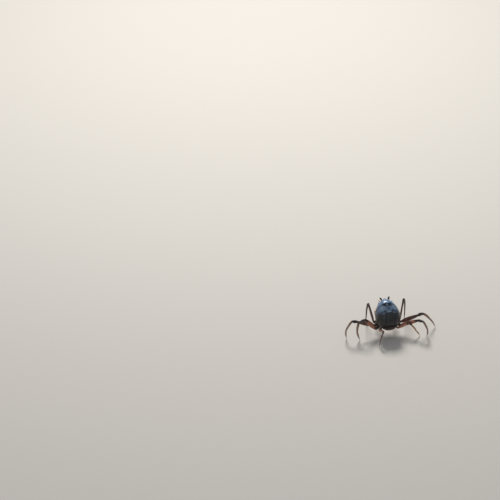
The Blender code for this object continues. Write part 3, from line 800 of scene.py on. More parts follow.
def tail_finish(settings):
    """Dark brown plates with paler hind edges, olive towards the belly, and painted shade in the crease at
    the front of each plate.
    """
    finish = Finish("tail_brown", 0.45, 0.15, 0.25, 0.3, level=True)
    within, across, share = finish.marks()
    cloud, fleck = finish.noise(0.9, 4.0, 0.6), finish.noise(4.0, 4.0, 0.7)
    finish.painted = finish.mix(cloud.rising(0.35, 0.68), settings.tail_colour, settings.tail_pale)
    finish.paint(share.rising(0.25, 0.6) * 0.7, settings.belly_shade)
    finish.paint(within.rising(0.82, 0.93) * (1.0 - within.rising(0.95, 1.0)) * 0.7, settings.belly_colour)
    # Painted shade in the crease where each plate starts under the lip of the one before.
    finish.paint(within.falling(0.0, 0.12) * 0.7, (0.02, 0.014, 0.012))
    finish.paint(fleck.rising(0.5, 0.7) * 0.4, (0.05, 0.035, 0.03))
    finish.vary("Roughness", 0.3 + fleck * 0.25)
    finish.raised(finish.cells(4.5).falling(0.0, 0.4), 0.022)
    finish.raised(finish.noise(10.0, 3.0), 0.02)
    return finish.finished()


def build_mouth_plates(settings):
    """The two large plates that close the mouth like doors."""
    material = face_finish(settings)
    for side in SIDES:
        mesh = mouth_plate(side, 0.0, 110, 130)
        roughened(mesh, 0.03, 0.8, 5.0)
        piece("mouth_plate_" + side, placed(mesh, 60), ["maxilliped_" + side], material)


def face_finish(settings):
    """Cream and blue-grey mouth plates, warm at their lower edge."""
    finish = Finish("face_cream", 0.35, 0.45, 0.15, level=True)
    x, y, z = finish.parts(finish.at)
    cloud, fleck = finish.noise(0.5, 4.0, 0.6, 0.5), finish.noise(2.6, 4.0, 0.65)
    finish.painted = finish.mix(cloud.rising(0.36, 0.64), settings.face_colour, settings.face_blue)
    low = (z + y * -0.5 + (cloud - 0.5) * 3.0).falling(-4.5, -0.5)
    finish.paint(low * 0.7, settings.face_warm)
    spots = finish.cells(2.6).falling(0.08, 0.30)
    finish.paint(spots * fleck.rising(0.42, 0.6) * 0.6, (0.20, 0.16, 0.17))
    finish.vary("Roughness", 0.24 + fleck * 0.2)
    finish.raised(spots, 0.030)
    finish.raised(finish.noise(8.0, 4.0, 0.6), 0.025)
    return finish.finished()


class Solids:
    """Reads where the limbs' solids are and how thick they are."""

    def __init__(self):
        self.trees = {}
        self.shapes = {}

    def shape(self, node):
        """A solid's bmesh, made once."""
        if node not in self.shapes:
            bm = loose(frame["nodes"][node].data)
            bmesh.ops.remove_doubles(bm, verts=bm.verts, dist=SAME_CORNER * MM)
            bm.normal_update()
            self.shapes[node] = bm
            self.trees[node] = BVHTree.FromBMesh(bm)
        return self.shapes[node]

    def end_face(self, node, other):
        """The middle, the direction outwards and the corner points of the face that meets another node."""
        self.shape(other)
        middle, normal, weight = Vector(), Vector(), 0.0
        corners = {}
        for face in self.shape(node).faces:
            centre = face.calc_center_median()
            near = self.trees[other].find_nearest(centre, MEETING_REACH * MM)[0]
            if near is None or (near - centre).normalized().dot(face.normal) < 0.9:
                continue
            area = face.calc_area()
            middle += centre * area
            normal += face.normal * area
            weight += area
            corners.update({vert.index: vert.co for vert in face.verts})
        if not weight:
            raise RuntimeError(node + " meets no face of " + other)
        return middle / weight, normal.normalized(), list(corners.values())

    def section(self, node, point, normal):
        """The corner points of a cut across a node."""
        cut = self.shape(node).copy()
        geometry = cut.verts[:] + cut.edges[:] + cut.faces[:]
        found = bmesh.ops.bisect_plane(cut, geom=geometry, plane_co=point, plane_no=normal)
        points = [part.co.copy() for part in found["geom_cut"] if isinstance(part, bmesh.types.BMVert)]
        cut.free()
        return points

    def lowest(self, node, axis):
        """The middle of the few points that reach furthest along an axis."""
        points = sorted((vert.co for vert in self.shape(node).verts), key=lambda co: -co.dot(axis))
        reach = points[0].dot(axis)
        points = [co for co in points if reach - co.dot(axis) < 0.05 * MM]
        return sum(points, Vector()) / len(points), points


SOLIDS = Solids()


class Limb:
    """One limb segment as its solid has it: its ends, and its middle line and sizes between them."""

    def __init__(self, node, start, end, broad, ease=5, stations=12, margin=0.16):
        self.node = node
        self.start, self.start_normal, start_points = start
        self.end, self.end_normal, end_points = end
        self.axis = (self.end - self.start).normalized()
        self.length = (self.end - self.start).length
        middle = SOLIDS.section(node, self.start.lerp(self.end, 0.5), self.axis)
        self.broad = self.widest(middle, broad)
        self.thin = self.axis.cross(self.broad)
        rows = [self.row(0.0, start_points, self.start)] if start_points else []
        for share in np.linspace(margin, 1 - margin, stations):
            place = self.start.lerp(self.end, float(share))
            points = SOLIDS.section(node, place, self.axis)
            rows.append(self.row(float(share), points, place))
        if end_points:
            rows.append(self.row(1.0, end_points, self.end))
        rows = np.array(rows)
        self.table = eased(read_off(np.linspace(0, 1, LIMB_STEPS), rows[:, 0], rows[:, 1:]), ease)

    def widest(self, points, towards):
        """The direction across the limb along which a section reaches furthest, on the side asked for."""
        middle = sum(points, Vector()) / len(points)
        guide = (towards - towards.project(self.axis)).normalized()
        other = self.axis.cross(guide)
        spread = np.zeros((2, 2))
        for point in points:
            flat = np.array(((point - middle).dot(guide), (point - middle).dot(other)))
            spread += np.outer(flat, flat)
        values, vectors = np.linalg.eigh(spread)
        best = vectors[:, int(np.argmax(values))]
        turned = guide * float(best[0]) + other * float(best[1])
        return turned if turned.dot(guide) > 0 else -turned

    def row(self, share, points, place):
        """A share of the length, with the middle and the half sizes of the section there."""
        flat = np.array([((p - place).dot(self.broad), (p - place).dot(self.thin)) for p in points])
        low, high = flat.min(0), flat.max(0)
        middle = place + self.broad * float(low[0] + high[0]) / 2 + self.thin * float(low[1] + high[1]) / 2
        return [share, *middle, *(high - low) / 2]

    def at(self, shares):
        """Middle points and half sizes at shares of the length, straight on past the ends."""
        inside = np.clip(shares, 0, 1)
        rows = read_off(inside, np.linspace(0, 1, LIMB_STEPS), self.table)
        beyond = (shares - inside)[:, None] * self.length
        rows[:, :3] += beyond * np.array(self.axis)
        return rows

    def mitre(self, normal):
        """How far a joint's plane leans along the limb, for each step across it."""
        normal = normal if normal.dot(self.axis) > 0 else -normal
        slope = -(normal - self.axis * normal.dot(self.axis)) / max(normal.dot(self.axis), 0.2)
        return np.array(slope * min(1.0, JOINT_LEAN / max(slope.length, 1e-6)))


# Each segment's steps along and round it, how crisp its edges are, its keels (angle, height, spread),
# the teeth on them, and its raised or sunk bands (share of the length, height, spread), in millimetres
LOOKS = {
    "hip": dict(rings=34, sides=30, lens=0.1, keels=((0, 0.05, 0.25), (math.pi, 0.05, 0.25)),
                bands=((0.42, -0.11, 0.030), (0.70, -0.09, 0.025))),
    "merus": dict(rings=74, sides=36, lens=0.35, teeth=26, bands=((0.93, -0.10, 0.018),),
                  keels=((0, 0.13, 0.16), (math.pi, 0.08, 0.16), (0.9, 0.035, 0.14), (-0.9, 0.035, 0.14))),
    "carpus": dict(rings=38, sides=32, lens=0.15, swell=0.10, teeth=9, bands=((0.12, -0.06, 0.03),),
                   keels=((0.45, 0.07, 0.16), (-0.45, 0.07, 0.16), (math.pi, 0.04, 0.2))),
    "propodus": dict(rings=50, sides=32, lens=0.15, teeth=14,
                     keels=((0.5, 0.05, 0.14), (-0.5, 0.05, 0.14), (math.pi, 0.05, 0.14))),
    "dactylus": dict(rings=50, sides=28, lens=0.1,
                     keels=((0, 0.05, 0.2), (1.6, -0.06, 0.3), (-1.6, -0.06, 0.3), (math.pi, 0.04, 0.2))),
    "arm": dict(rings=44, sides=32, lens=0.2, teeth=10, bands=((0.94, -0.08, 0.02),),
                keels=((0, 0.08, 0.18), (math.pi, 0.05, 0.2))),
    "wrist": dict(rings=44, sides=32, lens=0.15, teeth=9, bands=((0.1, -0.06, 0.03),),
                  keels=((0.3, 0.07, 0.16), (-0.6, 0.05, 0.16))),
    "hand": dict(rings=100, sides=36, lens=0.1, teeth=22,
                 keels=((0.5, 0.04, 0.16), (-0.5, 0.04, 0.16), (math.pi, 0.05, 0.2))),
    "finger": dict(rings=60, sides=30, lens=0.1, teeth=12,
                   keels=((0.0, 0.04, 0.2), (math.pi, 0.10, 0.22))),
}

# A segment's neck before its joint, the root's neck in the body, and its end past the next joint:
# places in millimetres, and how thick it is there
NECK = ((-0.50, 0.30), (-0.46, 0.52), (-0.30, 0.62), (-0.10, 0.66), (0.02, 0.68))
ROOT_NECK = ((-1.2, 0.80), (-0.6, 0.90))
FAR_END = ((0.0, 0.80), (-0.10, 0.72), (-0.30, 0.66), (-0.34, 0.40))
JOINT_LEAN = 0.75
JOINT_REACH = 2.2


def profile(length, start_half, end_half, look, tip, root):
    """Places along a segment, in millimetres, and how thick it is there beside its solid."""
    place = np.linspace(0.0 if root else 0.06, length - (0.02 if tip else 0.05), look["rings"])
    share, left = place / length, length - place
    scale = np.ones_like(place)
    if not root:
        scale *= 0.74 + 0.26 * step(place, 0.0, 0.5 * start_half)
    if tip:
        point = np.sqrt(np.maximum(1 - ((share - 0.86) / 0.15) ** 2, 0.02))
        scale *= (1 - 0.55 * step(share, 0.5, 1.0)) * np.where(share > 0.86, point, 1.0)
    else:
        scale *= 1 + look.get("swell", 0.0) * bell(share, 0.42, 0.4)
        scale *= 1 + 0.05 * bell(left, 0.40 * end_half, 0.22 * end_half)
        scale *= 1 - 0.13 * (1 - step(left, 0.0, 0.28 * end_half))
    rows = [*(ROOT_NECK if root else NECK), *zip(place, scale)]
    if not tip:
        rows += [(length + past, size) for past, size in FAR_END]
    return np.array(rows).T


def keels_of(look, share, turn, tone):
    """How far a segment's keels and bands rise, at shares of its length and turns round it."""
    relief = np.zeros((len(share), len(turn)))
    for angle, height, spread in look["keels"]:
        gap = np.angle(np.exp(1j * (turn - angle)))[None, :]
        serration = 1.0
        if "teeth" in look:
            wave = np.sin(np.pi * look["teeth"] * share + 3 * tone + angle + 0.8 * np.sin(9 * share))
            serration = 0.45 + 0.9 * np.abs(wave)
        relief = relief + height * bell(gap, 0, spread) * serration * np.sin(np.pi * share) ** 0.5
    for where, height, spread in look.get("bands", ()):
        relief = relief + height * bell(share, where, spread)
    return relief


def limb_mesh(limb, look, tone, tip, root):
    """A limb segment with keels, granules and rounded ends, its neck tucked into the segment before."""
    length = limb.length / MM
    start_half, end_half = limb.table[0, 4] / MM, limb.table[-1, 4] / MM
    place, scale = profile(length, start_half, end_half, look, tip, root)
    rows = limb.at(place / length)
    tangents = limb.at(place / length + 0.01)[:, :3] - limb.at(place / length - 0.01)[:, :3]
    tangents /= np.linalg.norm(tangents, axis=1, keepdims=True)
    offsets, turn = ring_offsets(tangents, np.array(limb.broad), rows[:, 3] * scale, rows[:, 4] * scale,
                                 look["sides"], look["lens"])
    share = np.clip(place / length, 0, 1)[:, None]
    radius = np.linalg.norm(offsets, axis=-1)
    relief = keels_of(look, share, turn, tone)
    offsets = offsets * (1 + relief * MM / np.maximum(radius, 0.1 * MM))[..., None]
    lean_in = np.zeros(3) if root else limb.mitre(limb.start_normal)
    lean_out = np.zeros(3) if tip else limb.mitre(limb.end_normal)
    near = 1 - step(place, 0, JOINT_REACH * start_half)
    far = 1 - step(length - place, 0, JOINT_REACH * end_half)
    shear = near[:, None] * (offsets @ lean_in) + far[:, None] * (offsets @ lean_out)
    axis = np.array(limb.axis)
    rings = rows[:, None, :3] + offsets + shear[..., None] * axis
    ends = [rows[0, :3] - axis * 0.04 * MM, rows[-1, :3] + axis * (0.02 if tip else -0.02) * MM]
    mesh = ringed(limb.node, rings, *ends)
    up = np.tile((1 + np.cos(turn)) / 2, (len(place), 1))
    marks = np.stack([np.tile(share, (1, len(turn))), up, np.full_like(up, tone)], -1).reshape(-1, 3)
    set_marks(mesh, np.concatenate([marks, [(0, 0.5, tone), (1, 0.5, tone)]]))
    roughened(mesh, 0.025 * MM, 0.55 * MM, tone, LIMB_GRAIN)
    if tip:
        for vert in mesh.vertices:
            vert.co.z = max(vert.co.z, 0.0)
    return shaded(mesh, 50)


def joint_skin(before, after):
    """A soft skin that bridges the gap between two limb segments."""
    first, second = before.at(np.array([1.0]))[0], after.at(np.array([0.0]))[0]
    size = np.minimum(first[3:], second[3:])
    reach = float(size.mean())
    inner = first[:3] - np.array(before.axis) * 0.7 * reach
    outer = second[:3] + np.array(after.axis) * 0.7 * reach
    places = (inner, first[:3], (first[:3] + second[:3]) / 2, second[:3], outer)
    rows = [(*place, *(size * share)) for place, share in zip(places, (0.74, 0.90, 0.95, 0.90, 0.74))]
    broad = np.array((before.broad + after.broad).normalized())
    return tube("skin", along(rows, 16), broad, 26, 0.1 * MM, 0.1 * MM)


def joined(name, meshes):
    """One mesh of several, with their marks."""
    bm = bmesh.new()
    for mesh in meshes:
        bm.from_mesh(mesh)
        bpy.data.meshes.remove(mesh)
    return written(bm, bpy.data.meshes.new(name))


def dress_limb(prefix, limbs, slots, materials, skin, tone, skinned):
    """The segments of a limb from its root on, and the soft skins between the first few."""
    for limb, slot, material in zip(limbs, slots, materials):
        part = limb.node.removeprefix(prefix)
        mesh = limb_mesh(limb, LOOKS[part], tone, part in TIPS, limb is limbs[0])
        piece("crab_" + limb.node, mesh, [limb.node], material)
    meshes = [joint_skin(before, after) for before, after in zip(limbs[:skinned], limbs[1:skinned])]
    for mesh in meshes:
        set_marks(mesh, np.full((len(mesh.vertices), 3), (0.5, 0.5, tone)))
    mesh = joined(prefix + "skins", meshes)
    roughened(mesh, 0.02 * MM, 0.4 * MM, tone, LIMB_GRAIN)
    mesh.shade_smooth()
    piece(prefix + "skins", mesh, [], skin)


def leg_limbs(side, number):
    """The five segments of a walking leg, read from their solids."""
    nodes = ["leg{}_{}_{}".format(number, side, part) for part in LEG_PARTS]
    out = mirrored((1, 0, 0), side)
    limbs = []
    for node, before, after in zip(nodes, ["sternum", *nodes], [*nodes[1:], None]):
        middle, normal, points = SOLIDS.end_face(node, before)
        start = (middle, normal, points if limbs else None)
        if after:
            end = SOLIDS.end_face(node, after)
        else:
            tip, points = SOLIDS.lowest(node, -UP)
            end = (tip, -UP, points)
        limbs.append(Limb(node, start, end, UP * 1.2 + out))
    return limbs


class Fringe:
    """Surfaces that bristles grow from: how thickly, which way they lie, and their place on an unwrap."""

    def __init__(self):
        self.points, self.faces, self.values = [], [], []
        self.count = 0

    def add(self, mesh, thick, lay, unwrap):
        """Takes the faces of a mesh where bristles grow."""
        thick = np.clip(thick, 0, 1)
        self.faces += [tuple(self.count + v for v in face.vertices) for face in mesh.polygons
                       if max(thick[v] for v in face.vertices) > 0.02]
        self.points.append(points_of(mesh))
        self.values.append(np.column_stack([thick, lay, unwrap, np.zeros(len(unwrap))]))
        self.count += len(mesh.vertices)

    def emitter(self):
        """The surfaces as one mesh, with their values."""
        mesh = bpy.data.meshes.new("emitter")
        mesh.from_pydata(np.concatenate(self.points).tolist(), [], self.faces)
        values = np.concatenate(self.values).astype(np.float32)
        mesh.attributes.new("thick", "FLOAT", "POINT").data.foreach_set("value", values[:, 0].copy())
        for name, first in (("lay", 1), ("unwrap", 4)):
            column = mesh.attributes.new(name, "FLOAT_VECTOR", "POINT")
            column.data.foreach_set("vector", values[:, first:first + 3].ravel())
        return mesh


class Growth(Recipe):
    """A Geometry Nodes tree that puts a small shape at many points of the mesh it is given."""

    def __init__(self, name, inputs):
        super().__init__(bpy.data.node_groups.new(name, "GeometryNodeTree"))
        inputs = {"Geometry": ("Geometry", None), **{key: ("Float", value) for key, value in inputs.items()},
                  "Seed": ("Int", 1), "Material": ("Material", None)}
        self.sockets = {key: self.group_input(key, "NodeSocket" + kind, value)
                        for key, (kind, value) in inputs.items()}
        self.tree.interface.new_socket(name="Geometry", in_out="OUTPUT", socket_type="NodeSocketGeometry")
        source = self.tree.nodes.new("NodeGroupInput")
        self.given = {key: Node(self, source.outputs[key]) for key in inputs}

    def random(self, low, high):
        """A number between two others for each point."""
        inputs = {2: low, 3: high, "Seed": self.given["Seed"]}
        return self.add("FunctionNodeRandomValue", {"data_type": "FLOAT"}, inputs, 1)

    def towards(self, vector):
        """A rotation that turns a shape's height along a vector."""
        return self.add("FunctionNodeAlignRotationToVector", {"axis": "Z"}, {"Vector": vector})

    def grow(self, points, shape, rotation, scale):
        """Puts the shape at the points, as plain geometry, and ends the tree."""
        inputs = {"Points": points, "Instance": shape, "Rotation": rotation, "Scale": scale}
        grown = self.add("GeometryNodeInstanceOnPoints", None, inputs)
        grown = self.add("GeometryNodeRealizeInstances", None, [grown])
        inputs = {"Geometry": grown, "Material": self.given["Material"]}
        grown = self.add("GeometryNodeSetMaterial", None, inputs)
        self.tree.links.new(grown.socket, self.tree.nodes.new("NodeGroupOutput").inputs[0])
        return self


def bristle_tree():
    """Tapered, bent bristles scattered where the surface's thickness value asks for them."""
    make = Growth("bristles", {"Density": 1e6, "Length": 1e-3, "Thickness": 3e-5, "Bend": 0.3, "Stray": 0.3})
    given = make.given
    thick = make.add("GeometryNodeInputNamedAttribute", {"data_type": "FLOAT"}, {"Name": "thick"})
    lay = make.add("GeometryNodeInputNamedAttribute", {"data_type": "FLOAT_VECTOR"}, {"Name": "lay"})
    roots = make.add("GeometryNodeDistributePointsOnFaces", {"distribute_method": "RANDOM"},
                     {"Mesh": given["Geometry"], "Density": thick * given["Density"], "Seed": given["Seed"]})
    stray = make.add("FunctionNodeRandomValue", {"data_type": "FLOAT_VECTOR"},
                     {0: (-1.0, -1.0, -1.0), 1: (1.0, 1.0, 1.0), "Seed": given["Seed"]})
    stray = make.add("ShaderNodeVectorMath", {"operation": "SCALE"}, {0: stray, "Scale": given["Stray"]})
    turned = make.towards(make.add("ShaderNodeVectorMath", {"operation": "ADD"}, [lay, stray]))
    spin = make.add("FunctionNodeAxisAngleToRotation", None,
                    {"Axis": (0.0, 0.0, 1.0), "Angle": make.random(0.0, 6.283)})
    turned = make.add("FunctionNodeRotateRotation", {"rotation_space": "LOCAL"}, [turned, spin])
    cone = make.add("GeometryNodeMeshCone", {"fill_type": "NGON"},
                    {"Vertices": 3, "Side Segments": 2, "Radius Top": given["Thickness"] * 0.12,
                     "Radius Bottom": given["Thickness"], "Depth": given["Length"]})
    height = make.add("ShaderNodeSeparateXYZ", None, [make.add("GeometryNodeInputPosition")], 2)
    share = height / given["Length"]
    bow = make.add("ShaderNodeCombineXYZ", None, [share * share * given["Length"] * given["Bend"]])
    cone = make.add("GeometryNodeSetPosition", None, {"Geometry": cone, "Offset": bow})
    return make.grow(roots, cone, turned, make.random(0.55, 1.1))


def bead_tree():
    """Evenly spaced, slightly uneven beads along a line of edges."""
    make = Growth("beads", {"Spacing": 5e-4, "Size": 2e-4, "Stretch": 1.3})
    curve = make.add("GeometryNodeMeshToCurve", None, [make.given["Geometry"]])
    curve = make.add("GeometryNodeResampleCurve", {"mode": "LENGTH"},
                     {"Curve": curve, "Length": make.given["Spacing"]})
    bead = make.add("GeometryNodeMeshIcoSphere", None, {"Radius": make.given["Size"], "Subdivisions": 2})
    size = make.random(0.7, 1.1)
    scale = make.add("ShaderNodeCombineXYZ", None, [size, size, size * make.given["Stretch"]])
    return make.grow(curve, bead, make.towards(make.add("GeometryNodeInputTangent")), scale)


def grown_mesh(name, emitter, growth, values):
    """What a node tree grows on a mesh, as a plain mesh."""
    thing = linked(name, emitter)
    change = thing.modifiers.new("grow", "NODES")
    change.node_group = growth.tree
    for key, value in values.items():
        change[growth.sockets[key]] = value
    mesh = evaluated(thing)
    if not mesh.vertices:
        raise RuntimeError(name + " grew nothing")
    mesh.name = name
    mesh.shade_smooth()
    return mesh


def root_patches(mesh):
    """Gives each bristle a small patch of the OFBake map, at its root's place on the skin's unwrap."""
    layer = mesh.uv_layers.new(name="OFBake")
    spots = numbers(mesh.attributes["unwrap"].data, "vector", 3)[:, :2]
    here = np.arange(len(spots)) % BRISTLE_CORNERS
    spots = spots + 0.003 * np.stack([here % 3 / 2, here // 3 / (BRISTLE_CORNERS / 3)], 1)
    corner = np.zeros(len(mesh.loops), np.int32)
    mesh.loops.foreach_get("vertex_index", corner)
    layer.uv.foreach_set("vector", spots[corner].astype(np.float32).ravel())
    for name in ("unwrap", "lay", "thick"):
        if name in mesh.attributes:
            mesh.attributes.remove(mesh.attributes[name])


# The corners of one bristle, then each group's slot, bristles a square millimetre, length and half
# thickness in millimetres, bend, stray and seed, and how thickly the legs' segments grow them
BRISTLE_CORNERS = 9
BRISTLES = {
    "tail": ("tail_brown", 60, 0.65, 0.028, 0.25, 0.45, 3),
    "rim": ("tail_brown", 24, 0.62, 0.024, 0.3, 0.45, 5),
    "hip": ("tail_brown", 44, 0.9, 0.026, 0.25, 0.35, 7),
    "mouth": ("face_cream", 26, 0.5, 0.021, 0.3, 0.4, 9),
    "leg": ("foot_olive", 26, 0.42, 0.024, 0.25, 0.4, 11),
}
LEG_HAIR = {"hip": 0.6, "merus": 0.28, "carpus": 0.32, "propodus": 0.85, "dactylus": 0.85}


def skin_of(name):
    """A finished piece's mesh, its points in the level body's frame, and its normals."""
    mesh = bpy.data.objects[name].data
    level = BODY.inverted()
    local = points_of(mesh) @ np.array(level.to_3x3()).T + np.array(level.translation)
    return mesh, local, normals_of(mesh)


def body_way(x, y, z):
    """A direction of the level body, in the crab's frame."""
    return np.array(BODY.to_3x3() @ Vector((x, y, z))) / MM


def in_map(across, up):
    """Places on the unwrap, clear of its edges, from shares of its width and height."""
    return np.stack([0.02 + 0.94 * across, 0.02 + 0.94 * up], 1)


def egg_unwrap(local):
    """Places on the unwrap of the whole body."""
    theta, phi, _, _ = egg_angles(local)
    return in_map((phi + 180) / 360, theta / 180)


def tail_fringe():
    """Along the sides and the hind edges of the tail's plates."""
    mesh, local, normals = skin_of("tail")
    within, across, _ = marks_of(mesh).T
    outer = np.arange(len(local)) < len(local) // 2
    sides = outer * step(across, 0.90, 0.97)
    edges = outer * bell(within, 0.94, 0.04) * 0.8
    lay = normals * 0.5 + (sides * np.sign(local[:, 0]))[:, None] * body_way(1, 0, 0)
    fringe = Fringe()
    fringe.add(mesh, sides + edges, lay + edges[:, None] * body_way(0, -0.9, -0.45), egg_unwrap(local))
    return fringe


def rim_fringe():
    """Along the shell's lower rim and its hind margin."""
    mesh, local, normals = skin_of("shell")
    rim = step(-local[:, 2], RIM_DROP - 0.55, RIM_DROP - 0.15) * step(local[:, 1], -3.5, -1.0)
    reach = float(HIND_PLANE @ np.array(HIND_MARGIN))
    hind = step(local @ HIND_PLANE, reach - 0.5, reach - 0.15)
    lay = normals * 0.35 + rim[:, None] * body_way(0, 0, -1) + hind[:, None] * body_way(0, 1, -0.4)
    fringe = Fringe()
    fringe.add(mesh, rim + hind * 0.7, lay, egg_unwrap(local))
    return fringe


def hip_fringe():
    """Tufts between the legs' roots, and on the flat sides of the hips."""
    mesh, local, normals = skin_of("underside")
    across = np.abs(local[:, 0])
    groove = sum(bell(local[:, 1], place + GROOVE_SLANT * across, 0.75) for place in LEG_GROOVES)
    tufts = groove * step(across, 4.4, 5.6) * step(-local[:, 2], 4.0, 4.8)
    fringe = Fringe()
    fringe.add(mesh, tufts, normals + body_way(0, 0.25, -0.2), egg_unwrap(local))
    for side in SIDES:
        outwards = body_way(*mirrored((0.5, 0, 0), side))
        for number in LEGS:
            mesh, local, normals = skin_of("crab_leg{}_{}_hip".format(number, side))
            share, up, _ = marks_of(mesh).T
            facing = normals @ body_way(0, 1, 0)
            flat = bell(up, 0.5, 0.3) * (1 - step(share, 0.75, 0.95))
            flat = flat * (facing > 0 if number == 1 else facing < 0 if number == 4 else 1)
            fringe.add(mesh, flat, normals * 0.9 + outwards, egg_unwrap(local))
    return fringe


def mouth_fringe():
    """Along the line between the mouth plates, and on their lower half."""
    fringe = Fringe()
    for side in SIDES:
        mesh, local, normals = skin_of("mouth_plate_" + side)
        middle = bell(np.abs(local[:, 0]), 0.35, 0.28)
        low = step(-local[:, 2], 6.6, 7.8) * step(-local[:, 1], 2.0, 4.0)
        lay = normals * 0.5 + body_way(0, 0, -0.7) - middle[:, None] * body_way(0, 0.7, 0)
        fringe.add(mesh, middle + low * 0.5, lay, egg_unwrap(local))
    return fringe


def leg_fringe(row, side, number):
    """Along the upper and lower edges of a leg."""
    fringe = Fringe()
    for column, part in enumerate(LEG_PARTS):
        mesh = bpy.data.objects["crab_leg{}_{}_{}".format(number, side, part)].data
        share, up, _ = marks_of(mesh).T
        points = points_of(mesh)
        axis = points[share > 0.9].mean(0) - points[share < 0.1].mean(0)
        axis /= np.linalg.norm(axis)
        margin = step(up, 0.90, 0.97) * 0.8 + step(1 - up, 0.90, 0.97)
        margin = margin * step(share, 0.05, 0.15) * LEG_HAIR[part]
        if part == "dactylus":
            margin = margin * (1 - step(share, 0.72, 0.88))
        unwrap = in_map((column + share) / len(LEG_PARTS), (row + up) / len(LEG_TONES))
        fringe.add(mesh, margin, normals_of(mesh) * 0.9 + axis * 0.8, unwrap)
    return fringe


def build_bristles(settings):
    """Bristles on the tail's edges, the shell's rim, the mouth plates, between the hips and on the legs."""
    growth, material = bristle_tree(), bristle_finish()

    def grow(name, fringe, kind, more=0):
        slot, density, length, thickness, bend, stray, seed = BRISTLES[kind]
        values = {"Density": density * 1e6, "Length": length * MM,
                  "Thickness": thickness * MM, "Bend": bend, "Stray": stray, "Seed": seed + more,
                  "Material": material}
        mesh = grown_mesh(name, fringe.emitter(), growth, values)
        root_patches(mesh)
        piece(name, mesh, [], material)

    fringes = {"tail": tail_fringe, "rim": rim_fringe, "hip": hip_fringe, "mouth": mouth_fringe}
    for kind, fringe in fringes.items():
        grow(kind + "_bristles", fringe(), kind)
    for row, (side, number) in enumerate((side, number) for side in SIDES for number in LEGS):
        grow("leg{}_{}_bristles".format(number, side), leg_fringe(row, side, number), "leg", row)


def bristle_finish():
    """Stiff dark bristles, paler here and there."""
    finish = Finish("bristle", 0.5, 0.1, 0.3)
    fleck = finish.noise(1.6, 2.0)
    finish.painted = finish.mix(fleck.rising(0.4, 0.62), (0.05, 0.032, 0.024), (0.20, 0.145, 0.095))
    finish.vary("Roughness", 0.35 + fleck * 0.3)
    return finish.finished()


# The steps of the line along the shell's rim and along its hind margin, and the halvings that find the
# margin; then how far apart beads are and how large, in millimetres, and their seed
RIM_STEPS, MARGIN_STEPS, HALVINGS = 300, 260, 40
EDGE_BEADS = (0.34, 0.155, 3)
RIDGE_BEADS = (0.42, 0.15, 5)


def shell_edge():
    """The line of the shell's rim on one side and its hind margin, round to the other side."""
    reach = float(HIND_PLANE @ np.array(HIND_MARGIN))
    drop = RIM_DROP / SHELL_HALF[2]
    level = math.sqrt(1 - drop * drop)
    turn = np.radians(np.linspace(62, 180, RIM_STEPS))
    u = np.stack([level * np.sin(turn), -level * np.cos(turn), np.full_like(turn, -drop)], -1)
    rim = on_egg(u)
    rim = rim[rim @ HIND_PLANE < reach - 0.02]
    phi = np.linspace(126, -126, MARGIN_STEPS)
    low, high = np.full_like(phi, 60.0), np.full_like(phi, 179.0)
    for _ in range(HALVINGS):
        middle = (low + high) / 2
        past = on_egg(direction(middle, phi)) @ HIND_PLANE > reach
        low, high = np.where(past, low, middle), np.where(past, middle, high)
    hind = on_egg(direction(low, phi))
    hind = hind[hind[:, 2] > -RIM_DROP + 0.05]
    return np.concatenate([rim, hind, rim[::-1] * (-1, 1, 1)])


def flank_ridge(side):
    """The short granular ridge along the shell's side, behind the cheek spine."""
    theta, phi = np.linspace(48, 84, 40), np.linspace(76, 100, 40)
    points = on_egg(direction(theta, phi), 0.02)
    return points if side == "left" else points * (-1, 1, 1)


def build_beads(settings):
    """The beaded edge of the shell and the granular ridges on its sides."""
    growth, material = bead_tree(), bead_finish(settings)
    lines = {"edge_beads": (shell_edge(), *EDGE_BEADS)}
    for side in SIDES:
        lines["ridge_beads_" + side] = (flank_ridge(side), *RIDGE_BEADS)
    for name, (points, spacing, size, seed) in lines.items():
        mesh = bpy.data.meshes.new("line")
        mesh.from_pydata(points.tolist(), [(i, i + 1) for i in range(len(points) - 1)], [])
        mesh.transform(BODY)
        values = {"Spacing": spacing * MM, "Size": size * MM, "Stretch": 1.15, "Seed": seed,
                  "Material": material}
        piece(name, grown_mesh(name, mesh, growth, values), [], material)


def bead_finish(settings):
    """Pale blue beads at the front, olive at the back."""
    finish = Finish("beads", 0.3, 0.4, 0.12, level=True)
    fleck = finish.noise(1.4, 3.0)
    finish.painted = finish.mix(finish.parts(finish.at)[1].rising(-4.0, 3.0), settings.streak_colour,
                                settings.flank_colour)
    finish.paint(fleck.rising(0.45, 0.62) * 0.6, settings.hind_colour)
    finish.vary("Roughness", 0.25 + fleck * 0.2)
    return finish.finished()


def build_legs(settings):
    """Eight walking legs of five segments, with the soft skin at their joints."""
    materials = [leg_finish(part, settings) for part in LEG_PARTS]
    skin = skin_finish(settings)
    for side in SIDES:
        for number in LEGS:
            dress_limb("leg{}_{}_".format(number, side), leg_limbs(side, number), LEG_SLOTS, materials, skin,
                       LEG_TONES[side, number], len(LEG_PARTS))


def bell_of(value, middle, spread):
    """A smooth bump of height 1 of a socket's value."""
    return ((value - middle) / spread).math("ABSOLUTE").falling(0.0, 1.6)


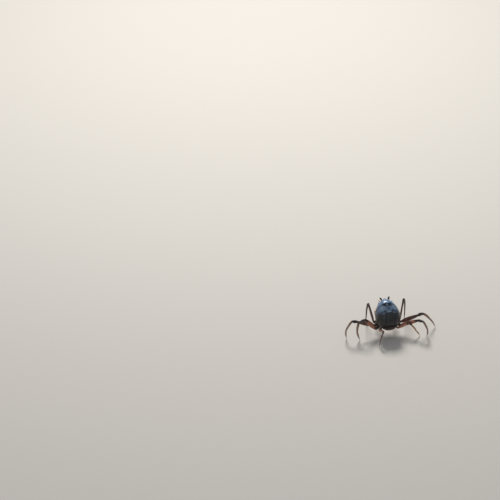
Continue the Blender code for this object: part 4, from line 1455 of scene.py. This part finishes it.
def leg_finish(part, settings):
    """Glossy, mottled shell of a leg segment, whose colours follow the leg and the place along it."""
    knee = part == "carpus"
    finish = Finish("leg_" + part, 0.3, 0.12 if knee else 0.24, 0.12, 0.36)
    share, up, tone = finish.marks()
    cloud, fleck = finish.noise(0.9, 4.0, 0.62, 0.6), finish.noise(3.4, 4.0, 0.66, 0.5)
    maroon, orange, gold = settings.leg_maroon, settings.leg_orange, settings.leg_gold
    tan, dark, pale = settings.leg_tan, settings.leg_dark, settings.leg_pale
    ramp = {
        "hip": (maroon, dark, maroon, maroon, orange),
        "merus": (maroon, maroon, orange, orange, orange),
        "carpus": (dark, dark, dark, dark, dark),
        "propodus": (maroon, tan, tan, maroon, gold),
        "dactylus": (dark, tan, tan, tan, gold),
    }[part]
    stops = list(zip((0.0, 0.27, 0.52, 0.75, 1.0), ramp))
    finish.painted = finish.add("ShaderNodeValToRGB", {"stops": stops}, [tone])
    finish.paint(cloud.rising(0.46, 0.68) * 0.55, finish.mix(0.5, finish.painted, pale))
    finish.paint(cloud.falling(0.30, 0.47) * 0.6, dark)
    if part == "hip":
        finish.paint(share.rising(0.60, 1.0) * 0.7, dark)
    if part == "merus":
        finish.paint(share.falling(0.02, 0.25) * 0.75, maroon)
        finish.paint(share.rising(0.74, 0.90) * 0.95, dark)
        finish.paint(up.rising(0.84, 0.99) * 0.5, maroon)
        finish.paint(up.falling(0.04, 0.22) * 0.35, pale)
    if knee:
        finish.paint(share.rising(0.5, 0.8) * tone.rising(0.85, 0.95), gold)
        # Painted glint: lilac along the upper side of the knee, brightest on the left third leg.
        glint = bell_of(share, 0.72, 0.22) * up.rising(0.4, 0.85)
        finish.paint(glint * (bell_of(tone, 0.5, 0.03) * 0.2 + 0.04), settings.leg_lilac)
    if part == "propodus":
        finish.paint(share.falling(0.0, 0.28) * tone.falling(0.8, 0.95) * 0.75, maroon)
        # Painted highlight: paler along the top of the shin's far half.
        finish.paint(up.rising(0.75, 1.0) * share.rising(0.25, 0.6) * 0.4, pale)
    if part == "dactylus":
        finish.paint(share.rising(0.55, 0.95) * 0.6, dark)
        finish.paint(share.falling(0.0, 0.2) * 0.5, pale)
    finish.paint(fleck.rising(0.52, 0.70) * 0.35, dark)
    finish.paint(finish.cells(2.6).falling(0.08, 0.26) * fleck.rising(0.45, 0.6) * 0.5, pale)
    finish.paint(finish.noise(9.0, 3.0, 0.6).rising(0.5, 0.72) * 0.2, (0.03, 0.02, 0.018))
    finish.vary("Roughness", (0.38 if knee else 0.20) + fleck * 0.22)
    finish.raised(finish.cells(3.8).falling(0.04, 0.40) * cloud.rising(0.35, 0.55), 0.045)
    finish.raised(finish.noise(7.0, 4.0, 0.65), 0.030)
    return finish.finished()


def skin_finish(settings):
    """Dark, wet joint skin in fine folds."""
    finish = Finish("joint_skin", 0.35, 0.4, 0.15)
    fleck = finish.noise(5.0, 4.0, 0.65)
    finish.painted = finish.mix(fleck.rising(0.4, 0.65), settings.leg_dark, settings.leg_maroon)
    finish.paint(fleck.rising(0.6, 0.75) * 0.5, settings.leg_pale)
    finish.vary("Roughness", 0.25 + fleck * 0.3)
    finish.raised(finish.noise(7.0, 3.0, 0.6, 1.5), 0.05)
    return finish.finished()


def claw_limbs(side):
    """The claw's arm, wrist, hand and moving finger, read from their solids."""
    arm, wrist, hand, finger = ("claw_{}_{}".format(side, part) for part in CLAW_PARTS)
    out = mirrored((1, 0, 0), side)
    forward = Vector((0.25 * out.x, -1, 0))
    root, normal, _ = SOLIDS.end_face(arm, "sternum")
    start = SOLIDS.end_face(hand, wrist)
    corners = [vert.co for vert in SOLIDS.shape(hand).verts]
    axis = (sum(corners, Vector()) / len(corners) - start[0]).normalized()
    tip, points = SOLIDS.lowest(hand, axis)
    axis = (tip - start[0]).normalized()
    heel, heel_points = SOLIDS.lowest(finger, -axis)
    point, point_points = SOLIDS.lowest(finger, axis)
    return [
        Limb(arm, (root, normal, None), SOLIDS.end_face(arm, wrist), UP + out),
        Limb(wrist, SOLIDS.end_face(wrist, arm), SOLIDS.end_face(wrist, hand), UP + out),
        Limb(hand, start, (tip, axis, points), forward, ease=1, stations=44, margin=0.02),
        Limb(finger, (heel, -axis, heel_points), (point, axis, point_points), forward,
             ease=2, stations=20, margin=0.04),
    ]


def build_claws(settings):
    """The two claws, each of arm, wrist, slim hand and moving finger."""
    material, skin = claw_finish(settings), skin_finish(settings)
    for side in SIDES:
        dress_limb("claw_{}_".format(side), claw_limbs(side), ["claw_tan"] * 4, [material] * 4, skin,
                   CLAW_TONE, 3)


def claw_finish(settings):
    """Cream to orange shell with tan marbling, maroon flecks and maroon towards each segment's root."""
    finish = Finish("claw_tan", 0.32, 0.45, 0.14)
    cloud, fleck = finish.noise(0.9, 4.0, 0.62, 0.5), finish.noise(3.6, 4.0, 0.66, 0.5)
    finish.painted = finish.mix(cloud.rising(0.36, 0.64) * 0.6, settings.claw_cream, settings.leg_orange)
    finish.paint(fleck.rising(0.52, 0.70) * 0.4, settings.leg_maroon)
    finish.paint(finish.marks()[0].falling(0.0, 0.18) * 0.5, settings.leg_maroon)
    finish.vary("Roughness", 0.22 + fleck * 0.22)
    finish.raised(finish.cells(3.6).falling(0.04, 0.42), 0.04)
    finish.raised(finish.noise(8.0, 4.0, 0.65), 0.025)
    return finish.finished()


EYE_ROOT, EYE_TIP = Vector((2.1, -10.8, 1.2)), Vector((3.9, -13.9, 2.6))
EYE_HALF = 0.72
STALK_SHARE = 0.42
EYE_GAP = 0.5 * GAP / (EYE_TIP - EYE_ROOT).length
FEELER_ROOT, FEELER_TIP = Vector((3.1, -10.2, -0.9)), Vector((5.0, -13.4, -1.6))

# Shares of the length from root to tip, and the half thickness there: beside EYE_HALF, or in millimetres
STALK = ((-0.16, 0.80), (0.0, 1.0), (0.10, 0.92), (0.22, 0.74), (0.34, 0.82), (STALK_SHARE - EYE_GAP, 0.90),
         (STALK_SHARE + 0.03, 0.78))
EYE = ((STALK_SHARE + EYE_GAP - 0.03, 0.80), (STALK_SHARE + EYE_GAP, 0.96), (0.52, 1.08), (0.66, 1.10),
       (0.78, 1.0), (0.88, 0.74), (0.95, 0.46))
FEELER = ((-0.14, 0.50), (0.0, 0.50), (0.25, 0.46), (0.46, 0.38), (0.50, 0.27), (1.0, 0.10))


def lofted(ends, side, shape, count, size=1.0):
    """Rows of a round tube between two ends, through shares of the length and half thicknesses."""
    root, tip = (mirrored(end, side) for end in ends)
    share, half = np.array(shape).T
    here = np.linspace(share[0], share[-1], count)
    sizes = eased(np.interp(here, share, half * size)[:, None], max(1, count // 30))
    return np.column_stack([[root.lerp(tip, float(t)) for t in here], sizes, sizes])


def build_eyes(settings):
    """Two short grey-blue stalks set in a V, each with a long glossy black eye."""
    stalk, cornea = stalk_finish(settings), cornea_finish()
    for side in SIDES:
        rows = lofted((EYE_ROOT, EYE_TIP), side, STALK, 60, EYE_HALF)
        mesh = tube("stalk", rows, (0, 0, 1), 36, 0.2, 0.10)
        roughened(mesh, 0.02, 0.5, 6.0)
        piece("eyestalk_" + side + "_skin", placed(mesh), ["eyestalk_" + side], stalk)
        rows = lofted((EYE_ROOT, EYE_TIP), side, EYE, 60, EYE_HALF)
        mesh = tube("eye", rows, (0, 0, 1), 44, 0.14, 0.16)
        piece("cornea_" + side, placed(mesh, 60), ["eye_" + side], cornea)


def stalk_finish(settings):
    """Grey-blue stalks with dark specks."""
    finish = Finish("stalk_grey", 0.4, 0.4, 0.15, level=True)
    fleck = finish.noise(2.8, 4.0, 0.65)
    finish.painted = finish.mix(fleck.rising(0.4, 0.62), settings.stalk_colour, settings.cap_pale)
    finish.paint(finish.cells(3.0).falling(0.1, 0.3) * 0.5, (0.06, 0.07, 0.09))
    finish.vary("Roughness", 0.28 + fleck * 0.25)
    finish.raised(finish.noise(6.0, 3.0), 0.04)
    return finish.finished()


def cornea_finish():
    """Black glass with the eye's fine facets."""
    finish = Finish("eye_black", 0.08, 0.8, 0.04, 0.6, level=True)
    sheen = finish.noise(1.2, 2.0).rising(0.4, 0.7)
    finish.painted = finish.mix(sheen, (0.004, 0.004, 0.006), (0.018, 0.020, 0.030))
    finish.raised(finish.cells(8.0, 0.25).falling(0.0, 0.6), 0.006)
    return finish.finished()


def build_feelers(settings):
    """Two short feelers: two stout segments, then a thin ringed lash."""
    material = feeler_finish(settings)
    share = np.linspace(-0.14, 1.0, 150)
    rings = np.where(share > 0.5, np.abs(np.sin(np.pi * (share - 0.5) / 0.5 * 9)) ** 0.4, 1.0)
    rings *= 1 - 0.3 * bell(share, 0.25, 0.015) - 0.3 * bell(share, 0.49, 0.015)
    for side in SIDES:
        rows = lofted((FEELER_ROOT, FEELER_TIP), side, FEELER, 150)
        rows[:, 3:] *= (0.72 + 0.28 * rings)[:, None]
        rows[:, 2] -= 0.25 * np.clip(share, 0, 1) ** 2
        mesh = tube("feeler", rows, (0, 0, 1), 22, 0.1, 0.08)
        piece("feeler_" + side, placed(mesh), ["antenna_" + side], material)


def feeler_finish(settings):
    """Tan and maroon feelers."""
    finish = Finish("feeler_tan", 0.45, 0.25, 0.2, level=True)
    fleck = finish.noise(4.0, 4.0, 0.65)
    finish.painted = finish.mix(fleck.rising(0.4, 0.65), settings.leg_tan, settings.leg_maroon)
    finish.vary("Roughness", 0.3 + fleck * 0.25)
    finish.raised(finish.noise(8.0, 3.0), 0.03)
    return finish.finished()


# The view, in pixels of the photograph, radians and metres, the sensor's width, in millimetres, and
# the colours of the key light and of the sky
PHOTO = 500
VIEW_TURN, VIEW_LIFT = math.radians(168), math.radians(34)
VIEW_DISTANCE = 2.49
VIEW_LENS = 3090
CRAB_IN_PHOTO = (387.3, 314.2)
SENSOR = 36
AIM_ROUNDS = 8
FLOOR_HALF = 6.0
WARM, SKY = (1.0, 0.97, 0.92), (0.93, 0.96, 1.0)


def build_camera():
    """A long lens from behind the crab, its left and above, with the crab at its place in the frame."""
    flat = math.cos(VIEW_LIFT)
    back = Vector((math.sin(VIEW_TURN) * flat, -math.cos(VIEW_TURN) * flat, math.sin(VIEW_LIFT)))
    target = BODY.translation
    place = Matrix.Translation(target + back * VIEW_DISTANCE)
    turn = (-back).to_track_quat("-Z", "Y")
    for _ in range(AIM_ROUNDS):
        seen = (place @ turn.to_matrix().to_4x4()).inverted() @ target
        px = PHOTO / 2 + VIEW_LENS * seen.x / -seen.z
        py = PHOTO / 2 - VIEW_LENS * seen.y / -seen.z
        ray = turn @ Vector((px - CRAB_IN_PHOTO[0], CRAB_IN_PHOTO[1] - py, -VIEW_LENS))
        turn = ray.to_track_quat("-Z", "Y")
    lens = bpy.data.cameras.new("camera")
    lens.sensor_width = SENSOR
    lens.lens = VIEW_LENS / PHOTO * lens.sensor_width
    camera = linked("camera", lens)
    camera.matrix_world = place @ turn.to_matrix().to_4x4()
    bpy.context.scene.camera = camera


def build_lamp(name, towards, distance, size, power, colour):
    """A soft square light that looks at the crab from a direction."""
    lamp = bpy.data.lights.new(name, "AREA")
    lamp.size = size
    lamp.energy = power
    lamp.color = colour
    aim = Vector(towards).normalized()
    turn = aim.to_track_quat("Z", "Y").to_matrix().to_4x4()
    linked(name, lamp).matrix_world = Matrix.Translation(BODY.translation + aim * distance) @ turn


def build_stage(settings):
    """A plain floor, a key light before the crab, a fill behind it and light from all round."""
    bm = bmesh.new()
    bmesh.ops.create_grid(bm, x_segments=1, y_segments=1, size=FLOOR_HALF)
    mesh = written(bm, bpy.data.meshes.new("floor"))
    finish = Finish("floor", 0.85)
    finish.shader.inputs["Base Color"].default_value = (*settings.floor_colour, 1.0)
    mesh.materials.append(finish.material)
    linked("floor", mesh)
    build_lamp("key", (0.02, -0.66, 0.75), 1.1, 0.35, settings.key_power, WARM)
    build_lamp("fill", (0.4, 0.8, 0.55), 1.2, 1.0, settings.fill_power, SKY)
    world = bpy.data.worlds.new("studio")
    world.use_nodes = True
    background = world.node_tree.nodes["Background"]
    background.inputs["Color"].default_value = (*SKY, 1.0)
    background.inputs["Strength"].default_value = settings.room_light
    bpy.context.scene.world = world
    bpy.context.scene.view_settings.view_transform = "Standard"


def colour_property(name, description, default):
    """A colour for the panel."""
    return FloatVectorProperty(name=name, description=description, default=default, size=3, min=0.0, max=1.0,
                               subtype="COLOR")


class CrabShellSettings(bpy.types.PropertyGroup):
    """Sizes and colours of the body."""

    furrow_depth: FloatProperty(name="Neck Furrow", description="Depth of the furrow behind the front, in mm",
                                default=0.85, min=0.0, max=2.0)
    rings: IntProperty(name="Rings", description="Steps of the shell's mesh from front to back",
                       default=190, min=40, max=400)
    sides: IntProperty(name="Sides", description="Steps of the shell's mesh round the body",
                       default=240, min=60, max=500)
    cap_colour: colour_property("Cap", "Sky blue of the front", (0.085, 0.170, 0.330))
    cap_pale: colour_property("Pale Cap", "Palest patches of the blue", (0.205, 0.310, 0.440))
    middle_colour: colour_property("Middle", "Deeper blue behind the neck", (0.022, 0.052, 0.115))
    streak_colour: colour_property("Streaks", "Pale streaks of the middle", (0.155, 0.220, 0.300))
    # The hind, pale hind and rear colours are partly the shell's own slate and olive and partly painted shade
    # of the back half.
    hind_colour: colour_property("Hind", "Slate of the hind half", (0.012, 0.016, 0.021))
    hind_pale: colour_property("Pale Hind", "Olive grey of the hind half", (0.034, 0.036, 0.034))
    olive_colour: colour_property("Olive", "Olive blotches of the hind part", (0.050, 0.046, 0.028))
    rear_colour: colour_property("Rear", "Near black of the rear end", (0.010, 0.009, 0.010))
    flank_colour: colour_property("Flanks", "Olive brown of the lower sides", (0.085, 0.070, 0.048))
    # The furrow colour is painted shade in the furrows and pits, and the shell's own colour in the dark
    # blotches of the hind half.
    furrow_colour: colour_property("Furrows", "Dark blue of the furrows", (0.004, 0.009, 0.020))
    belly_colour: colour_property("Belly", "Cream of the underside", (0.50, 0.43, 0.36))
    belly_shade: colour_property("Belly Shade", "Warm shade of the underside", (0.30, 0.21, 0.17))
    tail_colour: colour_property("Tail", "Dark brown of the tail's plates", (0.020, 0.015, 0.013))
    tail_pale: colour_property("Pale Tail", "Paler brown of the tail's plates", (0.075, 0.055, 0.042))
    face_colour: colour_property("Face", "Cream of the mouth plates", (0.46, 0.44, 0.41))
    face_blue: colour_property("Blue Face", "Blue grey of the mouth plates", (0.22, 0.29, 0.38))
    face_warm: colour_property("Warm Face", "Warm lower edge of the mouth plates", (0.38, 0.22, 0.15))
    stalk_colour: colour_property("Eye Stalks", "Grey blue of the eye stalks", (0.13, 0.17, 0.22))


class CrabLimbSettings(bpy.types.PropertyGroup):
    """Colours of the legs, the claws and the feelers."""

    leg_maroon: colour_property("Maroon", "Maroon of the hips and knees", (0.115, 0.036, 0.028))
    leg_orange: colour_property("Orange", "Orange brown of the hind thighs", (0.50, 0.205, 0.118))
    leg_gold: colour_property("Gold", "Golden tan of the lightest leg", (0.42, 0.26, 0.12))
    leg_tan: colour_property("Tan", "Tan of the shins and feet", (0.30, 0.185, 0.115))
    leg_dark: colour_property("Dark", "Near black brown of shaded joints", (0.020, 0.009, 0.009))
    # The pale colour is the legs' own pale flecks and also a painted highlight along the top of the shins.
    leg_pale: colour_property("Pale", "Pinkish grey of the pale flecks", (0.36, 0.29, 0.28))
    # The lilac is a painted glint on the knees.
    leg_lilac: colour_property("Lilac", "Lilac grey of the wet knees", (0.36, 0.30, 0.32))
    claw_cream: colour_property("Claw", "Cream of the claws", (0.46, 0.34, 0.24))


class CrabStageSettings(bpy.types.PropertyGroup):
    """Floor and lights."""

    floor_colour: colour_property("Floor", "Colour of the plain floor", (0.60, 0.575, 0.54))
    key_power: FloatProperty(name="Key Light", description="Power of the light before the crab",
                             default=11.0, min=0.0, max=100.0, unit="POWER")
    fill_power: FloatProperty(name="Fill Light", description="Power of the light behind the crab",
                              default=1.2, min=0.0, max=100.0, unit="POWER")
    room_light: FloatProperty(name="Room Light", description="Strength of the light from all round",
                              default=0.32, min=0.0, max=5.0)


class BodySettings:
    """The shell's and the limbs' values together, for the pieces that use both."""

    def __init__(self, scene):
        self.groups = (scene.crab_shell, scene.crab_limbs)

    def __getattr__(self, name):
        for group in self.groups:
            if hasattr(group, name):
                value = getattr(group, name)
                return value if isinstance(value, (int, float)) else tuple(value)
        raise AttributeError(name)


class CRAB_OT_shell(bpy.types.Operator):
    """Builds the blue shell"""

    bl_idname = "crab.shell"
    bl_label = "Shell"
    bl_options = {"REGISTER", "UNDO"}

    def execute(self, context):
        build_shell(BodySettings(context.scene))
        return {"FINISHED"}


class CRAB_OT_underside(bpy.types.Operator):
    """Builds the breast plates"""

    bl_idname = "crab.underside"
    bl_label = "Underside"
    bl_options = {"REGISTER", "UNDO"}

    def execute(self, context):
        build_underside(BodySettings(context.scene))
        return {"FINISHED"}


class CRAB_OT_tail(bpy.types.Operator):
    """Builds the folded tail"""

    bl_idname = "crab.tail"
    bl_label = "Tail"
    bl_options = {"REGISTER", "UNDO"}

    def execute(self, context):
        build_tail(BodySettings(context.scene))
        return {"FINISHED"}


class CRAB_OT_mouth_plates(bpy.types.Operator):
    """Builds the two large mouth plates"""

    bl_idname = "crab.mouth_plates"
    bl_label = "Mouth Plates"
    bl_options = {"REGISTER", "UNDO"}

    def execute(self, context):
        build_mouth_plates(BodySettings(context.scene))
        return {"FINISHED"}


class CRAB_OT_eyes(bpy.types.Operator):
    """Builds the eye stalks and the eyes"""

    bl_idname = "crab.eyes"
    bl_label = "Eyes"
    bl_options = {"REGISTER", "UNDO"}

    def execute(self, context):
        build_eyes(BodySettings(context.scene))
        return {"FINISHED"}


class CRAB_OT_feelers(bpy.types.Operator):
    """Builds the two feelers"""

    bl_idname = "crab.feelers"
    bl_label = "Feelers"
    bl_options = {"REGISTER", "UNDO"}

    def execute(self, context):
        build_feelers(BodySettings(context.scene))
        return {"FINISHED"}


class CRAB_OT_legs(bpy.types.Operator):
    """Builds the eight walking legs and their joint skins"""

    bl_idname = "crab.legs"
    bl_label = "Walking Legs"
    bl_options = {"REGISTER", "UNDO"}

    def execute(self, context):
        build_legs(BodySettings(context.scene))
        return {"FINISHED"}


class CRAB_OT_claws(bpy.types.Operator):
    """Builds the two claws"""

    bl_idname = "crab.claws"
    bl_label = "Claws"
    bl_options = {"REGISTER", "UNDO"}

    def execute(self, context):
        build_claws(BodySettings(context.scene))
        return {"FINISHED"}


class CRAB_OT_beads(bpy.types.Operator):
    """Builds the beaded edge and the granular ridges of the shell"""

    bl_idname = "crab.beads"
    bl_label = "Beaded Edge"
    bl_options = {"REGISTER", "UNDO"}

    def execute(self, context):
        build_beads(BodySettings(context.scene))
        return {"FINISHED"}


class CRAB_OT_bristles(bpy.types.Operator):
    """Grows the bristles of the tail, the rim, the mouth plates, the hips and the legs"""

    bl_idname = "crab.bristles"
    bl_label = "Bristles"
    bl_options = {"REGISTER", "UNDO"}

    def execute(self, context):
        build_bristles(BodySettings(context.scene))
        return {"FINISHED"}


class CRAB_OT_stage(bpy.types.Operator):
    """Sets the floor, the lights and the camera"""

    bl_idname = "crab.stage"
    bl_label = "Stage"
    bl_options = {"REGISTER", "UNDO"}

    def execute(self, context):
        build_stage(context.scene.crab_stage)
        build_camera()
        return {"FINISHED"}


MAKERS = ("shell", "underside", "tail", "mouth_plates", "eyes", "feelers", "legs", "claws", "beads",
          "bristles", "stage")


class CRAB_PT_panel(bpy.types.Panel):
    """The crab's makers and their sizes and colours, in the 3D view's sidebar"""

    bl_idname = "CRAB_PT_panel"
    bl_label = "Soldier Crab"
    bl_space_type = "VIEW_3D"
    bl_region_type = "UI"
    bl_category = "Crab"

    def draw(self, context):
        column = self.layout.column(align=True)
        for maker in MAKERS:
            column.operator("crab." + maker)
        for group in (context.scene.crab_shell, context.scene.crab_limbs, context.scene.crab_stage):
            box = self.layout.box()
            for name in group.bl_rna.properties.keys():
                if name not in ("rna_type", "name"):
                    box.prop(group, name)


GROUPS = {"crab_shell": CrabShellSettings, "crab_limbs": CrabLimbSettings, "crab_stage": CrabStageSettings}
CLASSES = (*GROUPS.values(), CRAB_OT_shell, CRAB_OT_underside, CRAB_OT_tail, CRAB_OT_mouth_plates,
           CRAB_OT_eyes, CRAB_OT_feelers, CRAB_OT_legs, CRAB_OT_claws, CRAB_OT_beads, CRAB_OT_bristles,
           CRAB_OT_stage, CRAB_PT_panel)


def register():
    for item in CLASSES:
        bpy.utils.register_class(item)
    for name, group in GROUPS.items():
        setattr(bpy.types.Scene, name, PointerProperty(type=group))


def unregister():
    for name in GROUPS:
        delattr(bpy.types.Scene, name)
    for item in reversed(CLASSES):
        bpy.utils.unregister_class(item)


def main():
    register()
    for maker in MAKERS:
        getattr(bpy.ops.crab, maker)()


if __name__ == "__main__":
    main()
